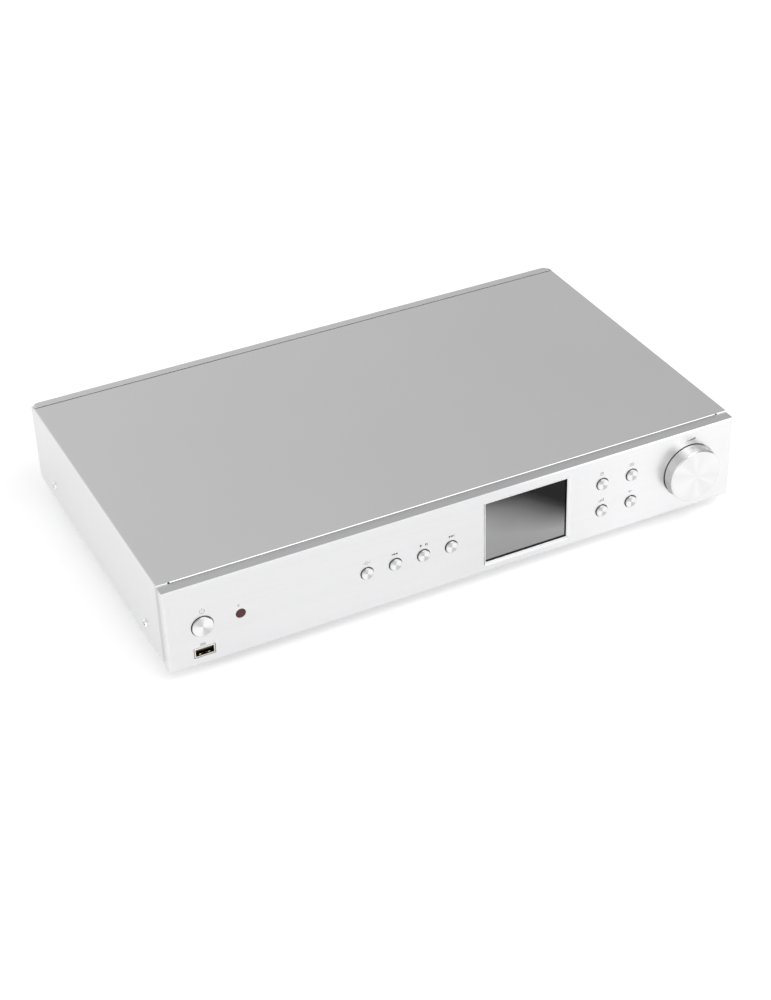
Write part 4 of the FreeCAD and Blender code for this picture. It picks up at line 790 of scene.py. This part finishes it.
def makeEye():
    look = eyeLook
    low, high, middle = spanOf("infrared_window")
    face, shoulder = low.y, low.y + look["long"]
    bm = bmesh.new()
    lathe(bm, [
        *[(radius, face + deep) for radius, deep in look["dome"]],
        (look["radius"], shoulder), (look["flange"], shoulder), (look["flange"], high.y),
        (0, high.y),
    ], (middle.x, 0, middle.z), look["steps"])
    piece = finish(bm, "InfraredWindow", "case", redWindow)
    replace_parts(piece, "infrared_window")


# USB socket

usbLook = {
    "rim": 0.10, "tongueEdge": 0.15, "mouth": -138.0, "floor": 0.9, "sunk": (0.05, 0.1),
    "spring": (1.5, 3.2, 0.45), "springIn": 1.0, "springAt": (-3.1, 3.1), "springEdge": 0.12,
    "contact": (1.0, 6.0, 0.08), "contactIn": 0.6, "contactAt": (-3.5, -1.2, 1.2, 3.5),
}


def makeUsb():
    look = usbLook
    shell, _, middle = spanOf("usb_shell")

    def shellFinish(face, at):
        # gilt outer edges at the mouth, bright rim and side walls inside it, painted shade on the rest
        # of the steel
        atMouth = at.y < look["mouth"]
        across = (at.x - middle.x) * face.normal.x
        if max(abs(value) for value in face.normal) < straight:
            outer = across + (at.z - middle.z) * face.normal.z > 0
            return goldPlate if atMouth and outer else shellSteelPaintedShade
        if face.normal.y < -straight:
            return nickelPlate if atMouth else shellSteelPaintedShade
        return nickelPlate if abs(face.normal.x) > straight and across < 0 else shellSteelPaintedShade

    polished("usb_shell", "UsbShell", "case", [shellSteelPaintedShade, goldPlate, nickelPlate],
             look["rim"], pick=shellFinish)
    polished("usb_tongue", "UsbTongue", "case", blackPlastic,
             look["tongueEdge"])
    bm = bmesh.new()
    wide, long, up = look["spring"]
    start, floor = shell.y + look["springIn"], shell.z + look["floor"]
    for at in look["springAt"]:
        x = middle.x + at
        brick(bm, (x - wide / 2, x + wide / 2), (start, start + long),
              (floor - look["sunk"][0], floor + up))
    breakEdges(bm, look["springEdge"])
    wide, long, thick = look["contact"]
    tongue = spanOf("usb_tongue")[0]
    start = tongue.y + look["contactIn"]
    for at in look["contactAt"]:
        x = middle.x + at
        brick(bm, (x - wide / 2, x + wide / 2), (start, start + long),
              (tongue.z - thick, tongue.z + look["sunk"][1]))
    finish(bm, "UsbContacts", "case", goldPlate)


# Signs on the front face

markLook = {"proud": 0.03, "sunk": 0.02, "stroke": 0.30, "steps": 20}


def plate(bm, corners):
    # a thin flat shape on the face, from its corners
    made = [bm.verts.new((x * mm, (faceY + markLook["sunk"]) * mm, z * mm)) for x, z in corners]
    grown = bmesh.ops.extrude_face_region(bm, geom=[bm.faces.new(made)])
    lifted = [item for item in grown["geom"] if isinstance(item, bmesh.types.BMVert)]
    thick = markLook["sunk"] + markLook["proud"]
    bmesh.ops.translate(bm, vec=(0, -thick * mm, 0), verts=lifted)
    faces = {face for vert in made + lifted for face in vert.link_faces}
    bmesh.ops.recalc_face_normals(bm, faces=list(faces))


def bar(bm, x, z, wide, high):
    plate(bm, [(x - wide / 2, z - high / 2), (x + wide / 2, z - high / 2),
               (x + wide / 2, z + high / 2), (x - wide / 2, z + high / 2)])


def arrow(bm, x, z, wide, high):
    # its point lies at x, its flat side at x plus the width
    plate(bm, [(x, z), (x + wide, z - high / 2), (x + wide, z + high / 2)])


def arc(bm, x, z, radius, start, sweep):
    # part of a ring; the angles run from +X towards +Z
    half = markLook["stroke"] / 2
    low, high = faceY + markLook["sunk"], faceY - markLook["proud"]
    turn = math.radians(start)
    corners = ((radius - half, low), (radius + half, low), (radius + half, high),
               (radius - half, high))
    made = [bm.verts.new(((x + r * math.cos(turn)) * mm, y * mm, (z + r * math.sin(turn)) * mm))
            for r, y in corners]
    face = bm.faces.new(made)
    spun = bmesh.ops.spin(bm, geom=[face] + list(face.edges) + made, cent=(x * mm, 0, z * mm),
                          axis=(0, -1, 0), angle=math.radians(sweep),
                          steps=markLook["steps"], use_merge=False)
    group = connected(made)
    if sweep >= 360:
        # a whole ring has no end faces
        ends = [item for item in spun["geom_last"] if isinstance(item, bmesh.types.BMFace)]
        starts = [other for other in {near for vert in made for near in vert.link_faces}
                  if all(vert in made for vert in other.verts)]
        bmesh.ops.delete(bm, geom=ends + starts, context="FACES_ONLY")
        bmesh.ops.remove_doubles(bm, verts=list(group), dist=2 * weld)
    faces = {near for vert in group if vert.is_valid for near in vert.link_faces}
    bmesh.ops.recalc_face_normals(bm, faces=list(faces))


row = 47.1  # height of the signs over the buttons in the middle
darkSigns = [
    # back to the start
    (bar, -53.7, row, 0.35, 1.7), (arrow, -53.4, row, 1.8, 1.8), (arrow, -51.6, row, 1.8, 1.8),
    # play and pause
    (arrow, -31.3, row, -1.9, 2.0), (bar, -28.9, row, 0.6, 1.8), (bar, -27.8, row, 0.6, 1.8),
    # on to the end
    (arrow, -9.7, row, -1.8, 1.8), (arrow, -7.9, row, -1.8, 1.8), (bar, -7.6, row, 0.35, 1.7),
]
paleSigns = [
    # source
    (arc, -72.4, row, 1.0, 0, 360), (bar, -74.4, row, 1.6, markLook["stroke"]),
    (bar, -70.4, row, 1.6, markLook["stroke"]),
    # standby
    (arc, -188.6, 50.2, 1.7, 125, 290), (bar, -188.6, 51.6, markLook["stroke"], 2.0),
    # infrared
    (arc, -163.8, 45.0, 1.3, 45, 90), (arc, -163.8, 45.2, 0.35, 0, 360),
    # plug
    (bar, -190.0, 23.6, 3.4, 0.28), (bar, -190.0, 25.0, 3.4, 0.28),
    (bar, -191.7, 24.3, 0.28, 1.68), (bar, -188.3, 24.3, 0.28, 1.68),
    (bar, -190.0, 24.45, 2.3, 0.35),
    # clock
    (arc, 107.3, 59.4, 1.3, 0, 360), (bar, 107.3, 59.85, 0.28, 1.1), (bar, 107.7, 59.4, 0.8, 0.28),
    # list
    *[(bar, x, z, wide, 0.32) for z in (58.5, 59.4, 60.3) for x, wide in ((129.0, 0.4), (131.4, 3.4))],
    # stored stations
    *[(bar, 105.6 + 1.15 * place, 36.9 + 0.25 * place, 0.6, 1.0 + 0.5 * place)
      for place in range(4)],
    # return
    (arrow, 129.2, 37.4, 1.3, 1.7), (bar, 131.4, 37.4, 2.2, 0.36),
    # volume
    (plate, [(174.8, 64.1), (183.0, 64.1), (183.0, 65.9)]),
]


def makeMarks():
    for name, ink, signs in (("TransportMarks", darkInk, darkSigns),
                             ("KeyMarks", labelInk, paleSigns)):
        bm = bmesh.new()
        for shape, *sizes in signs:
            shape(bm, *sizes)
        finish(bm, name, "case", ink)


makeFrontPanel()
makeCase()
makeFeet()
for node in buttonHoles:
    makeButton(node)
makeKnob()
makeDisplay()
makeEye()
makeUsb()
makeMarks()

print("back")

# Sockets on the back

socketLook = {
    "inletEdge": 0.4, "pinEdge": 0.3, "sleeveEdge": 0.22, "insertEdge": 0.15, "whiteFrom": 32.0,
    "aerialEdge": 0.2, "nutEdge": 0.3, "networkEdge": 0.2, "shield": 0.4, "lip": 0.15,
    "contacts": 8, "pitch": 1.02, "wire": 0.36, "wireBack": (11.0, 2.0), "wireDown": (4.2, 3.8),
}


def makeSockets():
    look = socketLook
    low, high, middle = spanOf("network_socket")

    def networkFinish(face, at):
        # nickel shield outside, dark plastic in the mouth
        wall = look["shield"]
        inside = low.x + wall < at.x < high.x - wall and low.z + wall < at.z < high.z - wall
        inMouth = inside and at.y < high.y - look["lip"] and face.normal.y > -0.5
        return blackPlastic if inMouth else nickelPlate

    polished("mains_inlet", "MainsInlet", "case", blackPlastic,
             look["inletEdge"], segments=2)
    polished("inlet_pins", "InletPins", "case", nickelPlate,
             look["pinEdge"], segments=2)
    polished("line_sleeves", "LineSleeves", "case", goldPlate,
             look["sleeveEdge"], segments=2)
    polished("line_inserts", "LineInserts", "case", [redPlastic, whitePlastic],
             look["insertEdge"],
             pick=lambda face, at: whitePlastic if at.x > look["whiteFrom"] else redPlastic)
    polished("aerial_sockets", "AerialSockets", "case", goldPlate,
             look["aerialEdge"])
    polished("socket_nuts", "SocketNuts", "case", nickelPlate,
             look["nutEdge"], segments=2)
    polished("network_socket", "NetworkSocket", "case", [nickelPlate, blackPlastic],
             look["networkEdge"], pick=networkFinish)
    bm = bmesh.new()
    for place in range(look["contacts"]):
        at = middle.x + (place - (look["contacts"] - 1) / 2) * look["pitch"]
        brick(bm, (at - look["wire"] / 2, at + look["wire"] / 2),
              [high.y - back for back in look["wireBack"]],
              [high.z - down for down in look["wireDown"]])
    finish(bm, "NetworkContacts", "case", goldPlate)


# Aerial

aerialLook = {
    "ridges": 36, "ridgeDeep": 0.16, "ridgeRim": 0.10, "ridgeFrom": 4.5, "bore": 3.4, "neck": 2.5,
    "boreEnd": 1.7, "neckLong": 1.5, "chamfer": 0.5, "band": 1.4, "grip": 1.6, "gripIn": 0.25,
    "baseEdge": 0.45, "mastEdge": 0.2,
}


def makeAerial():
    # the nut has ridges round its middle for a grip
    look = aerialLook
    low, high, middle = spanOf("antenna_nut")
    radius = (high.x - low.x) / 2
    near, far = low.y, high.y
    bore, neck, chamfer = look["bore"], look["neck"], look["chamfer"]
    band, grip, inner = look["band"], look["grip"], radius - look["gripIn"]
    bm = bmesh.new()
    lathe(bm, [
        (bore, near), (radius - chamfer, near), (radius, near + chamfer), (radius, near + band),
        (inner, near + grip), (inner, far - grip), (radius, far - band), (radius, far - chamfer),
        (radius - chamfer, far), (neck, far), (neck, far - look["neckLong"]),
        (bore, far - look["boreEnd"]), (bore, near),
    ], (middle.x, 0, middle.z), look["ridges"] * 2)
    bm.normal_update()
    ridges = []
    for face in bm.faces:
        at = face.calc_center_median() / mm
        outside = math.hypot(at.x - middle.x, at.z - middle.z) > look["ridgeFrom"]
        upright = abs(face.normal.y) < 1 - straight
        if outside and upright and near + grip < at.y < far - grip:
            ridges.append(face)
    bmesh.ops.inset_individual(bm, faces=ridges, thickness=look["ridgeRim"] * mm,
                               depth=look["ridgeDeep"] * mm)
    piece = finish(bm, "AerialNut", "case", aerialPlastic)
    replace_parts(piece, "antenna_nut")
    polished("antenna_base", "AerialBase", "antenna_base", aerialPlastic,
             look["baseEdge"], segments=3)
    polished("antenna_mast", "AerialMast", "antenna_mast", aerialPlastic,
             look["mastEdge"], segments=2)


makeSockets()
makeAerial()


# Finishes of the nodes that stay as they are

print("inside")

kept = {
    boardLaminate: ["switch_board", "display_board", "main_board", "supply_board"],
    blackPlastic: ["display_holder", "button_guides", "tact_switches", "knob_insert",
                   "line_block", "board_headers", "encoder_pusher"],
    chipPlastic: ["infrared_sensor", "main_chips"],
    zincPlate: ["board_screws"],
    nickelPlate: ["radio_module", "encoder_shaft", "encoder_body", "encoder_nut",
                  "antenna_pin", "board_spacers"],
    coreSteel: ["transformer_core"],
    windingTape: ["transformer_coil"],
    sleeveFilm: ["capacitors"],
    sinkAluminium: ["heat_sink"],
    cableSkin: ["ribbon_cable", "mains_leads", "antenna_lead"],
}
for material, nodes in kept.items():
    for node in nodes:
        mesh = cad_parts[node].data
        mesh.materials.clear()
        mesh.materials.append(material)


# Stage, lights and camera

print("stage")

floorLook = {"tone": 0.95, "lift": 0.28, "half": 2.8, "rough": 0.9, "shine": 0.1}


def makeFloor():
    look = floorLook
    bm = bmesh.new()
    bmesh.ops.create_grid(bm, x_segments=1, y_segments=1, size=look["half"])
    mesh = bpy.data.meshes.new("Floor")
    bm.to_mesh(mesh)
    bm.free()
    floor = bpy.data.objects.new("Floor", mesh)
    bpy.context.scene.collection.objects.link(floor)
    material = bpy.data.materials.new("floorPaper")
    material.use_nodes = True
    tree = material.node_tree
    start = Shade(tree)
    shader = tree.nodes["Principled BSDF"]
    shader.inputs["Base Color"].default_value = grey(look["tone"])
    shader.inputs["Roughness"].default_value = look["rough"]
    shader.inputs["Specular IOR Level"].default_value = look["shine"]
    # a little light of its own, where a picture or a mirror shows it
    camera = start.make("LightPath", out="Is Camera Ray")
    outputs = camera.socket.node.outputs
    seen = camera
    for ray in ("Is Glossy Ray", "Is Transmission Ray"):
        seen = start.math("MAXIMUM", seen, Shade(tree, outputs[ray]))
    glow = start.make("Emission", None, {"Color": grey(1.0), "Strength": seen * look["lift"]})
    both = start.make("AddShader", None, {0: Shade(tree, shader.outputs[0]), 1: glow})
    tree.links.new(both.socket, tree.nodes["Material Output"].inputs["Surface"])
    mesh.materials.append(material)


skyLook = {
    "stops": [(0.0, 0.98), (0.18, 0.8428), (0.42, 0.54625), (0.62, 0.475), (1.0, 0.60)],
    "slant": 0.95, "level": 0.36, "west": -0.15,
}


def makeWorld():
    # pale at the horizon, greyer above, darker towards the right; white where it is seen
    look = skyLook
    world = bpy.data.worlds.new("studio")
    bpy.context.scene.world = world
    world.use_nodes = True
    tree = world.node_tree
    start = Shade(tree)
    background = tree.nodes["Background"]
    x, _, z = start.make("TexCoord", out="Generated").axes()
    east = start.math("MAXIMUM", x, look["west"])
    share = east * (-look["slant"]) + (1 + look["level"] * look["slant"])
    sky = start.make("VectorMath", {"operation": "SCALE"},
                     {0: z.ramp(look["stops"]), "Scale": share})
    colour = start.make("LightPath", out="Is Camera Ray").blend(sky, grey(1.0))
    tree.links.new(colour.socket, background.inputs["Color"])
    background.inputs["Strength"].default_value = 1.0


lampLook = {
    "keyLamp": {"place": (2.4, -0.5, 1.7), "size": (1.6, 1.6), "power": 9.0},
    "fillLamp": {"place": (0.95, -1.38, 2.08), "size": (2.4, 1.6), "power": 22.0},
}


def makeLamp(name):
    # a soft light that points at the object
    look = lampLook[name]
    lamp = bpy.data.lights.new(name, "AREA")
    lamp.shape = "RECTANGLE"
    lamp.size, lamp.size_y = look["size"]
    lamp.energy = look["power"]
    item = bpy.data.objects.new(name, lamp)
    item.location = look["place"]
    item.rotation_euler = Vector(look["place"]).to_track_quat("Z", "Y").to_euler()
    item.visible_camera = False
    bpy.context.scene.collection.objects.link(item)


cameraLook = {
    "place": (-0.51104, -1.09534, 0.81548), "lens": 71.566, "sensor": 36.0, "far": 60.0,
    "right": (0.89450, -0.44615, -0.02872), "down": (-0.27311, -0.49445, -0.82519),
    "forward": (0.35395, 0.74597, -0.56413),
}


def makeCamera():
    look = cameraLook
    camera = bpy.data.cameras.new("view")
    camera.lens = look["lens"]
    camera.sensor_width = look["sensor"]
    camera.clip_end = look["far"]
    item = bpy.data.objects.new("view", camera)
    axes = (Vector(look["right"]), -Vector(look["down"]), -Vector(look["forward"]))
    turn = Matrix(axes).transposed().to_4x4()
    item.matrix_world = Matrix.Translation(look["place"]) @ turn
    bpy.context.scene.collection.objects.link(item)
    bpy.context.scene.camera = item


makeFloor()
makeWorld()
for name in lampLook:
    makeLamp(name)
makeCamera()
bpy.context.scene.view_settings.view_transform = "Standard"
